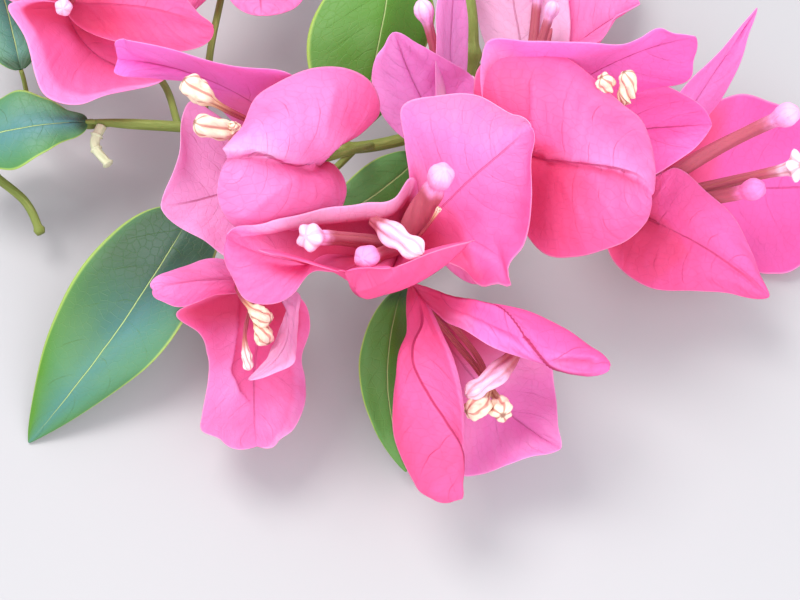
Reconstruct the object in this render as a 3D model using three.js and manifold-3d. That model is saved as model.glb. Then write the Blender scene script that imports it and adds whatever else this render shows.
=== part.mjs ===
// A cut spray of pink bougainvillea that lies on its side: a green stem with a side shoot, leaves, two
// spent flower stalks and ten blooms. Each bloom is three papery bracts round small tubular flowers.
// Lengths are in mm and Z is up.
import * as THREE from "three";
import { mergeVertices } from "three/addons/utils/BufferGeometryUtils.js";
import Module from "manifold-3d";

const wasm = await Module();
wasm.setup();

// Driving dimensions
const EYE = 300; // how far in front of the spray its places are read from
const LEAN = THREE.MathUtils.degToRad(65); // how far the spray is laid back on the ground
const BRACT_THICK = 0.6;
const LEAF_THICK = 0.8;
const GAP = 0.35; // clear space where one piece meets the next
const HEART_RADIUS = 1.7; // the small swelling that bracts and flowers grow from
const TUBE_RADIUS = 0.95; // a flower's tube
const HEAD_START = 0.74; // share of a flower's length where its tube widens to the head
const STALK_RADIUS = 0.75; // the stalk behind each bloom
const PETIOLE_RADIUS = 0.65; // the stalk of each leaf
const STEM_RADIUS = { cut: 2.1, tip: 0.9 };
const SHOOT_RADIUS = { start: 1.3, tip: 0.8 };
const TWIG_RADIUS = 0.7; // the spent flower stalks
const BLADE = { from: 0.02, to: 0.985 }; // the shares of its length that a bract or leaf fills
const LOBE_SHARE = 0.2; // where the lobes beside a bract's base reach furthest back
const ALONG = 6; // faces along a bract or leaf
const ACROSS = 6; // faces across it
const AIM = new THREE.Vector3(0.3, 0.4, 0.9); // no limb runs this way, so it steadies their rings

// A place [u, v, w] is read from the front: u to the right and v up, as seen from EYE, and w towards
// the eye. A nearer place is drawn in a little, because it looks bigger than it is.
function place([u, v, w]) {
  const near = 1 - w / EYE;
  const y = v * near;
  return new THREE.Vector3(
    u * near,
    y * Math.sin(LEAN) - w * Math.cos(LEAN),
    y * Math.cos(LEAN) + w * Math.sin(LEAN),
  );
}

// The direction towards the eye, which tells the front of a blade from its back.
const FRONT = new THREE.Vector3(0, -Math.cos(LEAN), Math.sin(LEAN));

// Blooms. Each bract has a tip, the middle of its midrib, and a few places on its left and right
// margins, each with its share of the way from heart to tip in front. round is how quickly the blade
// widens and ends: small numbers give a full base and a blunt end.
const BLOOMS = [
  {
    name: "centre",
    heart: [0.4, 10.1, -12],
    bracts: [
      {
        tip: [24.6, 32.4, 6],
        mid: [12.8, 22.1, -7],
        left: [[0.2, 0.6, 20.3, -9], [0.5, 1.1, 34.9, -2], [0.8, 11.6, 37.7, 4]],
        right: [[0.2, 15.4, 4.3, -10], [0.5, 23.4, 10.3, -3], [0.8, 24.4, 23.4, 2]],
        belly: [-2, -2],
        round: [0.5, 0.45],
      },
      {
        tip: [-32.8, 11.3, 6],
        mid: [-16.5, 7.1, -4],
        left: [[0.12, 2.6, 21, -4], [0.6, -20.6, 14.1, -4]],
        right: [[0.35, -19.3, 1.5, 4], [0.75, -30, 0.4, 8]],
        belly: [-3, 2],
        round: [0.5, 0.45],
      },
      {
        tip: [-10.3, 5.1, 16],
        mid: [-2.8, 1.3, 6],
        left: [[0.45, -25.9, 9.9, 6]],
        right: [[0.5, 14.1, 11.1, 8]],
        belly: [2, 3],
      },
    ],
    flowers: [
      { bend: [3, 13.5, -7], head: [7.7, 22.1, 4], radius: 2.4 },
      { bend: [-5, 11.5, -2], head: [-15.9, 11.8, 8], radius: 2.1 },
      { bend: [-1, 8.5, 2], head: [-6, 8.3, 12], radius: 1.9 },
      { bend: [-9, 17.5, -1], head: [2.5, 10.8, 8], radius: 1.9 },
    ],
  },
  {
    name: "left",
    heart: [-14.6, 26.3, -16],
    bracts: [
      {
        tip: [-32.4, 26.8, 10],
        mid: [-22.5, 26.3, 2],
        left: [[0.3, -10.7, 43.9, -12], [0.75, -29.4, 35.2, 0]],
        right: [[0.3, -16.9, 14.6, -14], [0.75, -33.4, 14.6, 4]],
        belly: [5, 3.5],
      },
      {
        tip: [-52.3, 45, -4],
        mid: [-32.8, 39.8, -12],
        left: [[0.35, -21.6, 41.3, 0], [0.6, -33.4, 44.6, 1], [0.85, -47.3, 48.2, 2]],
        right: [[0.4, -29.1, 34.7, -26], [0.85, -48.8, 41.3, -14]],
        round: [0.5, 0.35],
      },
      {
        tip: [-44.4, 17.3, -2],
        mid: [-30, 21.4, -14],
        left: [[0.4, -34.7, 38.4, -12], [0.75, -41.3, 30, -6]],
        right: [[0.4, -25.9, 7.1, -8], [0.75, -37.5, 12.4, -4]],
        belly: [-2, -2],
      },
    ],
    flowers: [
      { bend: [-27, 33, -10], head: [-38.5, 39, 2], radius: 2.3 },
      { bend: [-27, 30, -8], head: [-36, 32.4, 6], radius: 2.2 },
      { bend: [-26, 24, -8], head: [-30.5, 29.5, 2], radius: 1.5 },
    ],
  },
  {
    name: "right",
    heart: [19.7, 28.1, -14],
    bracts: [
      {
        tip: [47.1, 19.7, 2],
        mid: [34.7, 26.3, 2],
        left: [[0.3, 21.6, 45.9, -10], [0.75, 41.6, 38.4, 0]],
        right: [[0.3, 27.2, 10.3, -12], [0.75, 42.8, 10.3, -2]],
        belly: [4, 3],
      },
      {
        tip: [55.1, 49.1, -8],
        mid: [35.6, 42.2, -16],
        left: [[0.25, 15, 47.4, -8], [0.55, 33.8, 47.4, -4], [0.85, 47.8, 50, -6]],
        right: [[0.3, 37.5, 31.9, -26], [0.75, 50.3, 40.9, -18]],
      },
      {
        tip: [58.3, 32.6, -10],
        mid: [39.4, 31.5, -24],
        left: [[0.3, 32.8, 45, -24], [0.8, 54.4, 45, -14]],
        right: [[0.3, 35.6, 18.8, -22], [0.8, 50.3, 24, -12]],
      },
    ],
    flowers: [
      { bend: [30, 34, -14], head: [39.5, 41.4, -1], radius: 1.9 },
      { bend: [32, 33, -14], head: [43, 39, -2], radius: 2.1 },
      { bend: [32, 31, -15], head: [42, 32, -8], radius: 1.8 },
    ],
  },
  {
    name: "low",
    heart: [1.9, 3, -14],
    bracts: [
      {
        tip: [9, -37.5, -4],
        mid: [4.5, -16.9, 2],
        left: [[0.4, -0.8, -13.1, -4], [0.8, 0.6, -30, -2]],
        right: [[0.4, 10.3, -12.2, 0], [0.8, 12, -28.5, -2]],
        round: [0.8, 0.3],
        lobe: 0,
      },
      {
        tip: [39.2, -12.6, -6],
        mid: [21, -5.6, 4],
        left: [[0.35, 15, -0.6, -8], [0.75, 30, -4.7, -10]],
        right: [[0.35, 13.7, -6.2, 4], [0.75, 28.5, -11.4, 2]],
        round: [0.8, 0.6],
        lobe: 0,
      },
      {
        tip: [29.6, -28.1, -12],
        mid: [15, -15.9, -26],
        left: [[0.4, 24.4, -8.4, -24], [0.8, 29.6, -19.7, -16]],
        right: [[0.4, 3.8, -24.4, -20], [0.8, 15, -32.8, -14]],
        round: [0.8, 0.5],
        lobe: 0,
      },
    ],
    flowers: [
      { bend: [8, -4, -15], bend2: [22, -6, -14], head: [14.6, -17, -6], radius: 2 },
      { bend: [6, -4, -18], bend2: [15, -12, -18], head: [13.9, -20.6, -6], radius: 2 },
      { bend: [7, -5, -18], bend2: [18, -13, -20], head: [19.2, -21.1, -8], radius: 2.1 },
    ],
  },
  {
    name: "low_left",
    heart: [-24.8, 3, -26],
    bracts: [
      {
        tip: [-46.3, 2.4, -12],
        mid: [-34.7, 4.1, -18],
        left: [[0.6, -39.4, 7.1, -22]],
        right: [[0.6, -39.4, -1.1, -14]],
        round: [0.5, 0.4],
      },
      {
        tip: [-24.8, -27.4, -14],
        mid: [-27.2, -12.8, -32],
        left: [[0.15, -38.5, -1.5, -26], [0.45, -36.3, -11.3, -25], [0.8, -37.1, -23.4, -15]],
        right: [[0.2, -16.9, -3, -28], [0.5, -18, -11.2, -26], [0.8, -17.3, -17.8, -18]],
        round: [0.6, 0.25],
        lobe: 0,
      },
      {
        tip: [-28.7, -15, -2],
        mid: [-21.9, -6.6, -12],
        left: [[0.6, -24, -8.4, -16]],
        right: [[0.7, -19.3, -10.9, -6]],
        lobe: 0,
      },
    ],
    flowers: [
      { bend: [-25, 1, -20], head: [-26.8, -2.8, -14], radius: 1.9 },
      { bend: [-24, -1, -20], head: [-25.7, -6.4, -14], radius: 1.8 },
      { bend: [-27, 0, -22], head: [-30, -7.2, -16], radius: 1.7 },
    ],
  },
  {
    name: "far_right",
    heart: [42.8, 16.5, -38],
    bracts: [
      {
        tip: [67.3, 54.4, -30],
        mid: [54.4, 35.6, -38],
        left: [[0.45, 50.3, 37.5, -30], [0.8, 60, 45.6, -30]],
        right: [[0.45, 58.5, 30.9, -44], [0.8, 64.7, 45.9, -32]],
      },
      {
        tip: [82.9, 20.6, -46],
        mid: [63.8, 20.6, -50],
        left: [[0.4, 62.8, 38.3, -50], [0.75, 75, 34.1, -46]],
        right: [[0.4, 62.8, 5.6, -46.7], [0.75, 75, 8.3, -44]],
        belly: [-2, -2],
      },
      {
        tip: [69.2, 0.6, -26],
        mid: [56.3, 9.8, -26],
        left: [[0.35, 52.5, 24.4, -30], [0.75, 63.4, 13.5, -28]],
        right: [[0.35, 45, 4.1, -30], [0.75, 57.2, 1.7, -24]],
        belly: [2, 2],
      },
    ],
    flowers: [
      { bend: [48, 22, -38], bend2: [60, 34, -35], head: [71.5, 34.9, -24], radius: 2.3 },
      { bend: [49, 20, -38], bend2: [63, 21, -36], head: [73, 25.2, -22], radius: 2.2 },
      { bend: [49, 18, -38], bend2: [56, 18, -36], head: [65, 21, -24], radius: 2.1 },
    ],
  },
  {
    name: "behind",
    heart: [9.4, 28.1, -27],
    bracts: [
      {
        tip: [-1.1, 50.1, -14],
        mid: [3.8, 39, -22],
        left: [[0.35, -5.3, 35.3, -20], [0.75, -4.9, 44.6, -14]],
        right: [[0.35, 15.5, 38.5, -25], [0.75, 7.1, 47.3, -18]],
      },
      {
        tip: [10.3, 62.8, -20],
        mid: [9.4, 45.9, -28],
        left: [[0.5, 6.8, 50.6, -18]],
        right: [[0.5, 12.8, 46.9, -30]],
      },
      {
        tip: [14, 3, -30],
        mid: [11, 15, -25],
        left: [[0.5, 4, 15, -23]],
        right: [[0.5, 20, 14, -24]],
      },
    ],
    flowers: [
      { bend: [9, 36, -28], bend2: [6, 46, -24], head: [4.3, 54.6, -19], radius: 1.5 },
      { bend: [11, 34, -30], head: [13.6, 42, -31], radius: 1.5 },
      { bend: [9, 34, -30], head: [8, 41, -30], radius: 1.5 },
    ],
  },
  {
    name: "far_left",
    heart: [-62.6, 55.3, -40],
    bracts: [
      {
        tip: [-44.4, 41.3, -38],
        mid: [-57.8, 45.9, -42],
        left: [[0.3, -55.3, 53.4, -42], [0.7, -49.7, 45.9, -42]],
        right: [[0.3, -69.8, 46.9, -30], [0.7, -59.6, 36.9, -26]],
      },
      {
        tip: [-34.9, 51, -32],
        mid: [-48.8, 54.8, -32],
        left: [[0.35, -52.5, 65.6, -38], [0.8, -40.3, 60, -34]],
        right: [[0.35, -52.9, 48.4, -34], [0.8, -39.8, 46.5, -32]],
      },
      {
        tip: [-72.2, 78.8, -44],
        mid: [-68.4, 65.6, -48],
        left: [[0.45, -79.7, 63.8, -42]],
        right: [[0.45, -58.1, 72.2, -46]],
      },
    ],
    flowers: [
      { bend: [-62.6, 56, -34], head: [-63.2, 54.6, -26], radius: 1.6 },
      { bend: [-64, 58, -34], head: [-66, 60, -28], radius: 1.6 },
      { bend: [-61, 58, -34], head: [-60, 60, -28], radius: 1.6 },
    ],
  },
  {
    name: "top_left",
    heart: [-28.1, 67.5, -48],
    bracts: [
      {
        tip: [-25.9, 53.3, -34],
        mid: [-26.6, 60, -38],
        left: [[0.5, -33.2, 59.1, -40]],
        right: [[0.5, -17.3, 59.1, -40]],
      },
      {
        tip: [-40, 54.5, -40],
        mid: [-35.5, 61, -47],
        left: [[0.5, -40, 64, -50]],
        right: [[0.5, -35.6, 57, -46]],
      },
      {
        tip: [-30, 91.9, -52],
        mid: [-29.1, 78.8, -54],
        left: [[0.45, -38.4, 79.7, -50]],
        right: [[0.45, -18.8, 79.7, -50]],
      },
    ],
    flowers: [
      { bend: [-29, 67, -40], head: [-30, 66, -32], radius: 1.6 },
      { bend: [-27, 69, -40], head: [-26, 70, -32], radius: 1.6 },
      { bend: [-30, 70, -40], head: [-31, 71, -34], radius: 1.6 },
    ],
  },
  {
    name: "top_right",
    heart: [24.4, 40.3, -46],
    bracts: [
      {
        tip: [19.7, 70.3, -38],
        mid: [21.6, 54.4, -48],
        left: [[0.45, 14.2, 54.8, -49]],
        right: [[0.45, 31.5, 56.6, -46]],
      },
      {
        tip: [43.9, 55.3, -40],
        mid: [35.6, 49.7, -48],
        left: [[0.5, 32.8, 59.1, -50]],
        right: [[0.5, 39.8, 44.6, -42]],
      },
      {
        tip: [37.5, 67.5, -66],
        mid: [31.9, 54.4, -62],
        left: [[0.5, 22, 60, -62]],
        right: [[0.5, 42, 56, -62]],
      },
    ],
    flowers: [
      { bend: [26, 48, -42], head: [29, 56, -40], radius: 1.6 },
      { bend: [28, 50, -48], head: [31, 58, -50], radius: 1.6 },
      { bend: [25, 50, -47], head: [26, 59, -46], radius: 1.6 },
    ],
  },
];

// Leaves, in the same way. foot is where the leaf's stalk meets its stem.
const LEAVES = [
  {
    name: "big_left",
    foot: [-20, 29.2, -36],
    base: [-39, 16.5, -30],
    mid: [-52.9, -5.6, -24],
    tip: [-69.6, -26.8, -31],
    left: [[0.3, -56.6, 10.7, -28], [0.7, -66.6, -8.4, -29]],
    right: [[0.3, -35.6, 6, -28], [0.7, -48.9, -13.9, -25]],
  },
  {
    name: "far_left",
    foot: [-55, 33.4, -36],
    base: [-58.9, 33.4, -36],
    mid: [-72.2, 32.3, -34],
    tip: [-86.3, 27.8, -40],
    left: [[0.4, -70.3, 39.2, -36]],
    right: [[0.4, -69.4, 26.3, -32]],
  },
  {
    name: "top_left",
    foot: [-52, 33.1, -36],
    bend: [-67, 33, -51],
    base: [-71.1, 43.1, -46],
    mid: [-74.1, 56.3, -50],
    tip: [-77.8, 70.3, -52],
    left: [[0.45, -80.6, 54.4, -48]],
    right: [[0.45, -67.9, 57.2, -52]],
  },
  {
    name: "top",
    foot: [11.6, 60, -50],
    base: [-1.5, 64.7, -38],
    mid: [-3.8, 48.8, -34],
    tip: [-8.4, 30.9, -38],
    left: [[0.4, -17.3, 49.7, -34]],
    right: [[0.4, 6, 50.6, -42]],
  },
  {
    name: "low",
    foot: [4, 8, -26],
    base: [0.4, 2.3, -24],
    mid: [-2.3, -15, -22],
    tip: [1.1, -32.3, -23],
    left: [[0.5, -7.5, -15.4, -21]],
    right: [[0.5, 3.8, -13.5, -29]],
  },
  {
    name: "middle",
    foot: [10.5, 27, -37.2],
    base: [3.8, 27, -39],
    mid: [-5, 19.5, -33],
    tip: [-15.4, 13, -34],
    left: [[0.45, -8, 24, -33]],
    right: [[0.45, 0.9, 12.6, -36]],
  },
];

// The stem from its cut end to its tip, and the shoot that leaves it to the left.
const STEM = [
  [7, 74, -88],
  [9.5, 67, -60],
  [12.5, 57, -40],
  [13.4, 46, -38],
  [12, 32, -38],
  [8, 15, -33],
  [3.5, 6, -22],
];
const SHOOT = [
  [12.4, 35, -38],
  [0, 30, -38],
  [-14, 28.5, -36],
  [-36, 32, -36],
  [-57, 33.4, -36],
];

// The stalk behind each bloom, from the stem or shoot to the heart.
const STALKS = {
  centre: [[5, 9, -26.5], [1.8, 8.5, -19]],
  left: [[-5, 29, -37.4], [-9, 28, -26]],
  right: [[12.4, 34, -38], [18, 31, -28]],
  low: [[4, 7, -24], [2.6, 5, -19]],
  low_left: [[-8, 28.8, -37], [-20, 16, -36]],
  far_right: [[11.5, 28, -37.6], [28, 22, -44]],
  behind: [[11.2, 28.6, -37.4], [10.4, 28.2, -33]],
  far_left: [[-41.5, 32.7, -36], [-45, 41.5, -46], [-55, 50, -52]],
  top_left: [[-37, 32.1, -36], [-35.8, 45, -44], [-34.3, 53, -51], [-32, 62, -56]],
  top_right: [[13.5, 45, -38], [20, 37.5, -46]],
};

// Stalks on the shoot whose flowers have dropped, from the shoot to their dry ends.
const TWIGS = {
  spent_stalk: [[-56, 32.6, -36], [-57.2, 29, -34.6], [-54.6, 25.3, -33.4]],
  spent_twig: [[-57.6, 33, -38], [-70, 32.4, -46], [-79, 27, -45.6], [-70.4, 18.6, -43], [-67.3, 12.4, -42]],
};

// Shapes

// The midrib: a parabola from the base through the middle to the tip.
function midrib(blade, s, out = new THREE.Vector3()) {
  return out
    .set(0, 0, 0)
    .addScaledVector(blade.base, (1 - s) * (1 - 2 * s))
    .addScaledVector(blade.mid, 4 * s * (1 - s))
    .addScaledVector(blade.tip, s * (2 * s - 1));
}

// How wide the blade is at a share s of its length, before its places scale it.
const swell = (blade, s) => s ** blade.round[0] * (1 - s) ** blade.round[1];

// One margin, as its offset from the midrib: the offsets at its places over the swell there, with a
// polynomial through them, times the swell at s.
function margin(blade, places, s) {
  const off = new THREE.Vector3();
  for (const a of places) {
    let weight = 1;
    for (const b of places) {
      if (b !== a) weight *= (s - b.share) / (a.share - b.share);
    }
    off.addScaledVector(a.offset, weight / swell(blade, a.share));
  }
  return off.multiplyScalar(swell(blade, s));
}

function readBlade(spec, base) {
  const blade = {
    base: place(base),
    mid: place(spec.mid),
    tip: place(spec.tip),
    round: spec.round ?? [0.5, 0.6],
    belly: spec.belly ?? [0, 0],
    lobe: spec.lobe ?? 0.06,
  };
  const read = (list) =>
    list.map(([share, ...at]) => ({
      share,
      offset: place(at).sub(midrib(blade, share)),
    }));
  blade.left = read(spec.left);
  blade.right = read(spec.right);
  blade.chord = blade.tip.clone().sub(blade.base);
  const steps = Array.from({ length: 99 }, (_, i) => (i + 1) / 100);
  blade.most = Math.max(...steps.map((s) => swell(blade, s)));
  return blade;
}

// A point of the blade: s runs from base to tip and t from the left margin (-1) to the right one (1).
// Each half is bowed towards the eye by its belly, and the lobes beside the base reach back.
function bladePoint(blade, s, t) {
  const side = t < 0 ? 0 : 1;
  const a = Math.abs(t);
  const off = margin(blade, side ? blade.right : blade.left, s);
  const along = blade.chord.clone().normalize();
  const bow = along.clone().cross(off).normalize();
  if (bow.dot(FRONT) < 0) bow.negate();
  const full = swell(blade, s) / blade.most;
  const reach = (share) => share * (1 - share) ** 4;
  const back = (blade.lobe * a ** 1.5 * reach(s)) / reach(LOBE_SHARE);
  return midrib(blade, s)
    .addScaledVector(off, a)
    .addScaledVector(bow, blade.belly[side] * full * 4 * a * (1 - a))
    .addScaledVector(blade.chord, -back);
}

// A closed sheet of even thickness on a blade.
function sheet(blade, thick) {
  const { from, to } = BLADE;
  const point = (s, t) => bladePoint(blade, s, t);
  const rows = [];
  const step = 0.04;
  for (let i = 0; i <= ALONG; i++) {
    for (let j = 0; j <= ACROSS; j++) {
      const s = from + ((to - from) * i) / ALONG;
      const t = -1 + (2 * j) / ACROSS;
      const ds = point(Math.min(s + step, to), t).sub(point(Math.max(s - step, from), t));
      const dt = point(s, Math.min(t + step, 1)).sub(point(s, Math.max(t - step, -1)));
      const out = ds.cross(dt).normalize();
      const p = point(s, t);
      rows.push([
        p.clone().addScaledVector(out, thick / 2),
        p.clone().addScaledVector(out, -thick / 2),
      ]);
    }
  }
  const count = rows.length;
  const across = ACROSS + 1;
  const faces = [];
  const quad = (a, b, c, d) => faces.push(a, b, c, a, c, d);
  const id = (i, j) => i * across + j;
  for (let i = 0; i < ALONG; i++) {
    for (let j = 0; j < ACROSS; j++) {
      quad(id(i, j), id(i + 1, j), id(i + 1, j + 1), id(i, j + 1));
      quad(
        count + id(i, j + 1),
        count + id(i + 1, j + 1),
        count + id(i + 1, j),
        count + id(i, j),
      );
    }
  }
  for (let i = 0; i < ALONG; i++) {
    quad(id(i, 0), count + id(i, 0), count + id(i + 1, 0), id(i + 1, 0));
    quad(id(i + 1, ACROSS), count + id(i + 1, ACROSS), count + id(i, ACROSS), id(i, ACROSS));
  }
  for (let j = 0; j < ACROSS; j++) {
    quad(id(0, j + 1), count + id(0, j + 1), count + id(0, j), id(0, j));
    quad(id(ALONG, j), count + id(ALONG, j), count + id(ALONG, j + 1), id(ALONG, j + 1));
  }
  return solid([...rows.map((r) => r[0]), ...rows.map((r) => r[1])], faces);
}

// Shares from 0 to 1 in even steps.
const even = (steps) => Array.from({ length: steps + 1 }, (_, i) => i / steps);

// A round limb along a curve, with a ring at each of the shares of its length, a radius for each and a
// flat cap at both ends.
function limb(curve, radius, sides, shares) {
  const points = [];
  const faces = [];
  const rings = shares.length - 1;
  for (const s of shares) {
    const centre = curve.getPoint(s);
    const ahead = curve.getTangent(s);
    const x = ahead.clone().cross(AIM).normalize();
    const y = ahead.clone().cross(x);
    for (let j = 0; j < sides; j++) {
      const angle = (2 * Math.PI * j) / sides;
      points.push(
        centre
          .clone()
          .addScaledVector(x, radius(s) * Math.cos(angle))
          .addScaledVector(y, radius(s) * Math.sin(angle)),
      );
    }
  }
  for (let i = 0; i < rings; i++) {
    for (let j = 0; j < sides; j++) {
      const k = (j + 1) % sides;
      const [a, b, c, d] = [i * sides + j, i * sides + k, (i + 1) * sides + k, (i + 1) * sides + j];
      faces.push(a, b, c, a, c, d);
    }
  }
  for (let j = 1; j < sides - 1; j++) {
    const last = rings * sides;
    faces.push(0, j + 1, j, last, last + j, last + j + 1);
  }
  return solid(points, faces);
}

// The space that a limb needs: the limb grown by the gap, with a ball round its far end.
function around(curve, radius, rings) {
  const end = ball(curve.getPoint(1), radius(1) + 1.3 * GAP);
  return limb(curve, (s) => radius(s) + 1.2 * GAP, 6, even(rings)).add(end);
}

// A manifold solid from points and faces, turned the right way out.
function solid(points, faces) {
  const vertProperties = new Float32Array(points.flatMap((p) => p.toArray()));
  const make = (list) =>
    new wasm.Manifold(
      new wasm.Mesh({ numProp: 3, vertProperties, triVerts: new Uint32Array(list) }),
    );
  const made = make(faces);
  if (made.volume() > 0) return made;
  const turned = [];
  for (let i = 0; i < faces.length; i += 3) turned.push(faces[i], faces[i + 2], faces[i + 1]);
  return make(turned);
}

function ball(centre, radius) {
  const geometry = new THREE.IcosahedronGeometry(radius, 1).translate(centre.x, centre.y, centre.z);
  geometry.deleteAttribute("normal");
  geometry.deleteAttribute("uv");
  const merged = mergeVertices(geometry, 1e-3);
  const at = merged.getAttribute("position");
  const points = Array.from({ length: at.count }, (_, i) =>
    new THREE.Vector3().fromBufferAttribute(at, i),
  );
  return solid(points, Array.from(merged.index.array));
}

// The largest connected body of a solid, so that a cut leaves no crumbs.
function largest(made) {
  return made.decompose().reduce((a, b) => (a.volume() > b.volume() ? a : b));
}

const join = (solids) => solids.reduce((a, b) => a.add(b));

const through = (places) => new THREE.CatmullRomCurve3(places.map(place), false, "catmullrom", 0.5);

// A flower: a slim tube from the heart that widens to a rounded head.
function flower(heart, { bend, bend2, head, radius }) {
  const curve = bend2
    ? new THREE.CubicBezierCurve3(place(heart), place(bend), place(bend2), place(head))
    : new THREE.QuadraticBezierCurve3(place(heart), place(bend), place(head));
  const girth = (s) => {
    const h = Math.max(0, (s - HEAD_START) / (1 - HEAD_START));
    const end = Math.sqrt(Math.max(0.02, 1 - h ** 6));
    return (TUBE_RADIUS + (radius - TUBE_RADIUS) * Math.sin(Math.PI * Math.min(h, 1)) ** 0.8) * end;
  };
  return limb(curve, girth, 5, [0, 0.3, 0.55, HEAD_START, 0.81, 0.88, 0.95, 1]);
}

function bloom({ heart, bracts, flowers }) {
  const petals = bracts.map((spec) => sheet(readBlade(spec, heart), BRACT_THICK));
  const tubes = flowers.map((spec) => flower(heart, spec));
  return join([ball(place(heart), HEART_RADIUS), ...petals, ...tubes]);
}

// Build

const paint = {
  bract: { color: 0xe8509a, roughness: 0.7 },
  leaf: { color: 0x4f8f4c, roughness: 0.5 },
  stem: { color: 0x8a9a3c, roughness: 0.6 },
};

const pieces = [];
const keep = (group, name, made, look) => pieces.push({ group, name, made, look });

const stemCurve = through(STEM);
const stemRadius = (s) => STEM_RADIUS.cut + (STEM_RADIUS.tip - STEM_RADIUS.cut) * s;
keep("stems", "main_stem", limb(stemCurve, stemRadius, 6, even(14)), "stem");
const nearStem = around(stemCurve, stemRadius, 14);

const shootCurve = through(SHOOT);
const shootRadius = (s) => SHOOT_RADIUS.start + (SHOOT_RADIUS.tip - SHOOT_RADIUS.start) * s;
const shoot = largest(limb(shootCurve, shootRadius, 6, even(12)).subtract(nearStem));
keep("stems", "left_shoot", shoot, "stem");
const nearShoot = around(shootCurve, shootRadius, 12);

const stalks = [];
for (const spec of BLOOMS) {
  const curve = through([...STALKS[spec.name], spec.heart]);
  const cut = limb(curve, () => STALK_RADIUS, 5, even(7))
    .subtract(nearStem)
    .subtract(nearShoot)
    .subtract(ball(place(spec.heart), HEART_RADIUS + 1.3 * GAP));
  stalks.push({ name: "stalk_" + spec.name, made: largest(cut) });
  keep("blooms", "bloom_" + spec.name, bloom(spec), "bract");
}
for (const { name, made } of stalks) keep("stems", name, made, "stem");
for (const [name, places] of Object.entries(TWIGS)) {
  const twig = limb(through(places), () => TWIG_RADIUS, 5, even(8)).subtract(nearShoot);
  keep("stems", name, largest(twig), "stem");
}

for (const spec of LEAVES) {
  const blade = readBlade({ lobe: 0, round: [0.55, 0.85], ...spec }, spec.base);
  const body = sheet(blade, LEAF_THICK);
  const foot = place(spec.foot);
  const neck = place(spec.base);
  const reach = midrib(blade, 0.08);
  const curve = spec.bend
    ? new THREE.CubicBezierCurve3(foot, place(spec.bend), neck, reach)
    : new THREE.QuadraticBezierCurve3(foot, neck, reach);
  const petiole = limb(curve, () => PETIOLE_RADIUS, 5, even(6));
  const made = join([body, petiole]).subtract(nearStem).subtract(nearShoot);
  keep("leaves", "leaf_" + spec.name, largest(made), "leaf");
}

// The spray is set down with its lowest point on the ground and its box centred on the origin.
const box = new THREE.Box3();
for (const { made } of pieces) {
  const { min, max } = made.boundingBox();
  box.expandByPoint(new THREE.Vector3(...min)).expandByPoint(new THREE.Vector3(...max));
}
const centre = box.getCenter(new THREE.Vector3());
const down = [-centre.x, -centre.y, -box.min.z];

const spray = new THREE.Group();
spray.name = "bougainvillea_spray";
const groups = {};
for (const { group, name, made, look } of pieces) {
  const mesh = made.translate(down).getMesh();
  const geometry = new THREE.BufferGeometry();
  geometry.setAttribute("position", new THREE.BufferAttribute(mesh.vertProperties, 3));
  geometry.setIndex(new THREE.BufferAttribute(mesh.triVerts, 1));
  geometry.computeVertexNormals();
  const node = new THREE.Mesh(geometry, new THREE.MeshStandardMaterial(paint[look]));
  node.name = name;
  groups[group] ??= new THREE.Group();
  groups[group].name = group;
  groups[group].add(node);
}
for (const group of Object.values(groups)) spray.add(group);

export default spray;
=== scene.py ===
# %% [markdown]
# # A cut spray of pink bougainvillea
#
# The real thing is a branch cut from a garden climber. A green stem carries leaves and ten blooms, and
# each bloom is three papery bracts, coloured leaves, round a few slim tubular flowers. It lies on its
# side on a pale floor, and the camera looks down on it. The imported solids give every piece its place.
# This file makes the finer surfaces that are seen: thin bracts with veins and waved margins, ribbed
# flowers, glossy leaves and round stems.

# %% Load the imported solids
import math

import bpy
import numpy as np
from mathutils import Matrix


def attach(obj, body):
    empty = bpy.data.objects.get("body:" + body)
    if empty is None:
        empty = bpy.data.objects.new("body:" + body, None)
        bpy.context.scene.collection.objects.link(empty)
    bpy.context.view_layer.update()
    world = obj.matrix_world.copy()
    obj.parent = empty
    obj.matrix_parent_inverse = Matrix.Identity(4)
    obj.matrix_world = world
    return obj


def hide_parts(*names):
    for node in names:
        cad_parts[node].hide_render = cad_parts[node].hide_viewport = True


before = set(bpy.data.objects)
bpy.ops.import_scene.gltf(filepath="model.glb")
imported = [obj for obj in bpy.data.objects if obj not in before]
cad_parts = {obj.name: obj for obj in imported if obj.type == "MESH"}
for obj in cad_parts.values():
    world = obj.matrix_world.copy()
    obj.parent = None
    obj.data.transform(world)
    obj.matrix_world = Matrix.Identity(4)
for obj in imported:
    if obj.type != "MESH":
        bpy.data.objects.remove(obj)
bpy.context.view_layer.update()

# %% [markdown]
# ## Places as the eye reads them
#
# A bract is easiest to describe as it is seen: how far right, how far up, and how near the eye. So each
# place is three numbers in millimetres, u, v and w, and one function turns them into the frame. A nearer
# place is drawn in a little, because it looks bigger than it is, and the whole spray is then laid back.

# %% Turn places into the frame
MM = 0.001
EYE = 300.0  # mm from the camera to the middle of the spray
LEAN = math.radians(65)  # how far the spray is laid back on the floor
SET_DOWN = np.array([1.171, -46.2344, 40.9735])  # mm, from the middle of the view to the frame's origin
FRONT = np.array([0, -math.cos(LEAN), math.sin(LEAN)])  # towards the eye
UP = np.array([0, math.sin(LEAN), math.cos(LEAN)])  # upwards as the eye sees it


def place(p):
    """Places [u, v, w] in the frame, in mm: u and v shrink by the share w / EYE, and then v and w are
    turned about X by LEAN, so that v runs up the floor and w towards the eye."""
    u, v, w = np.moveaxis(np.asarray(p, float), -1, 0)
    near = 1 - w / EYE
    y = v * near
    turned = [u * near, y * math.sin(LEAN) - w * math.cos(LEAN), y * math.cos(LEAN) + w * math.sin(LEAN)]
    return np.stack(turned, axis=-1) + SET_DOWN


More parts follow.
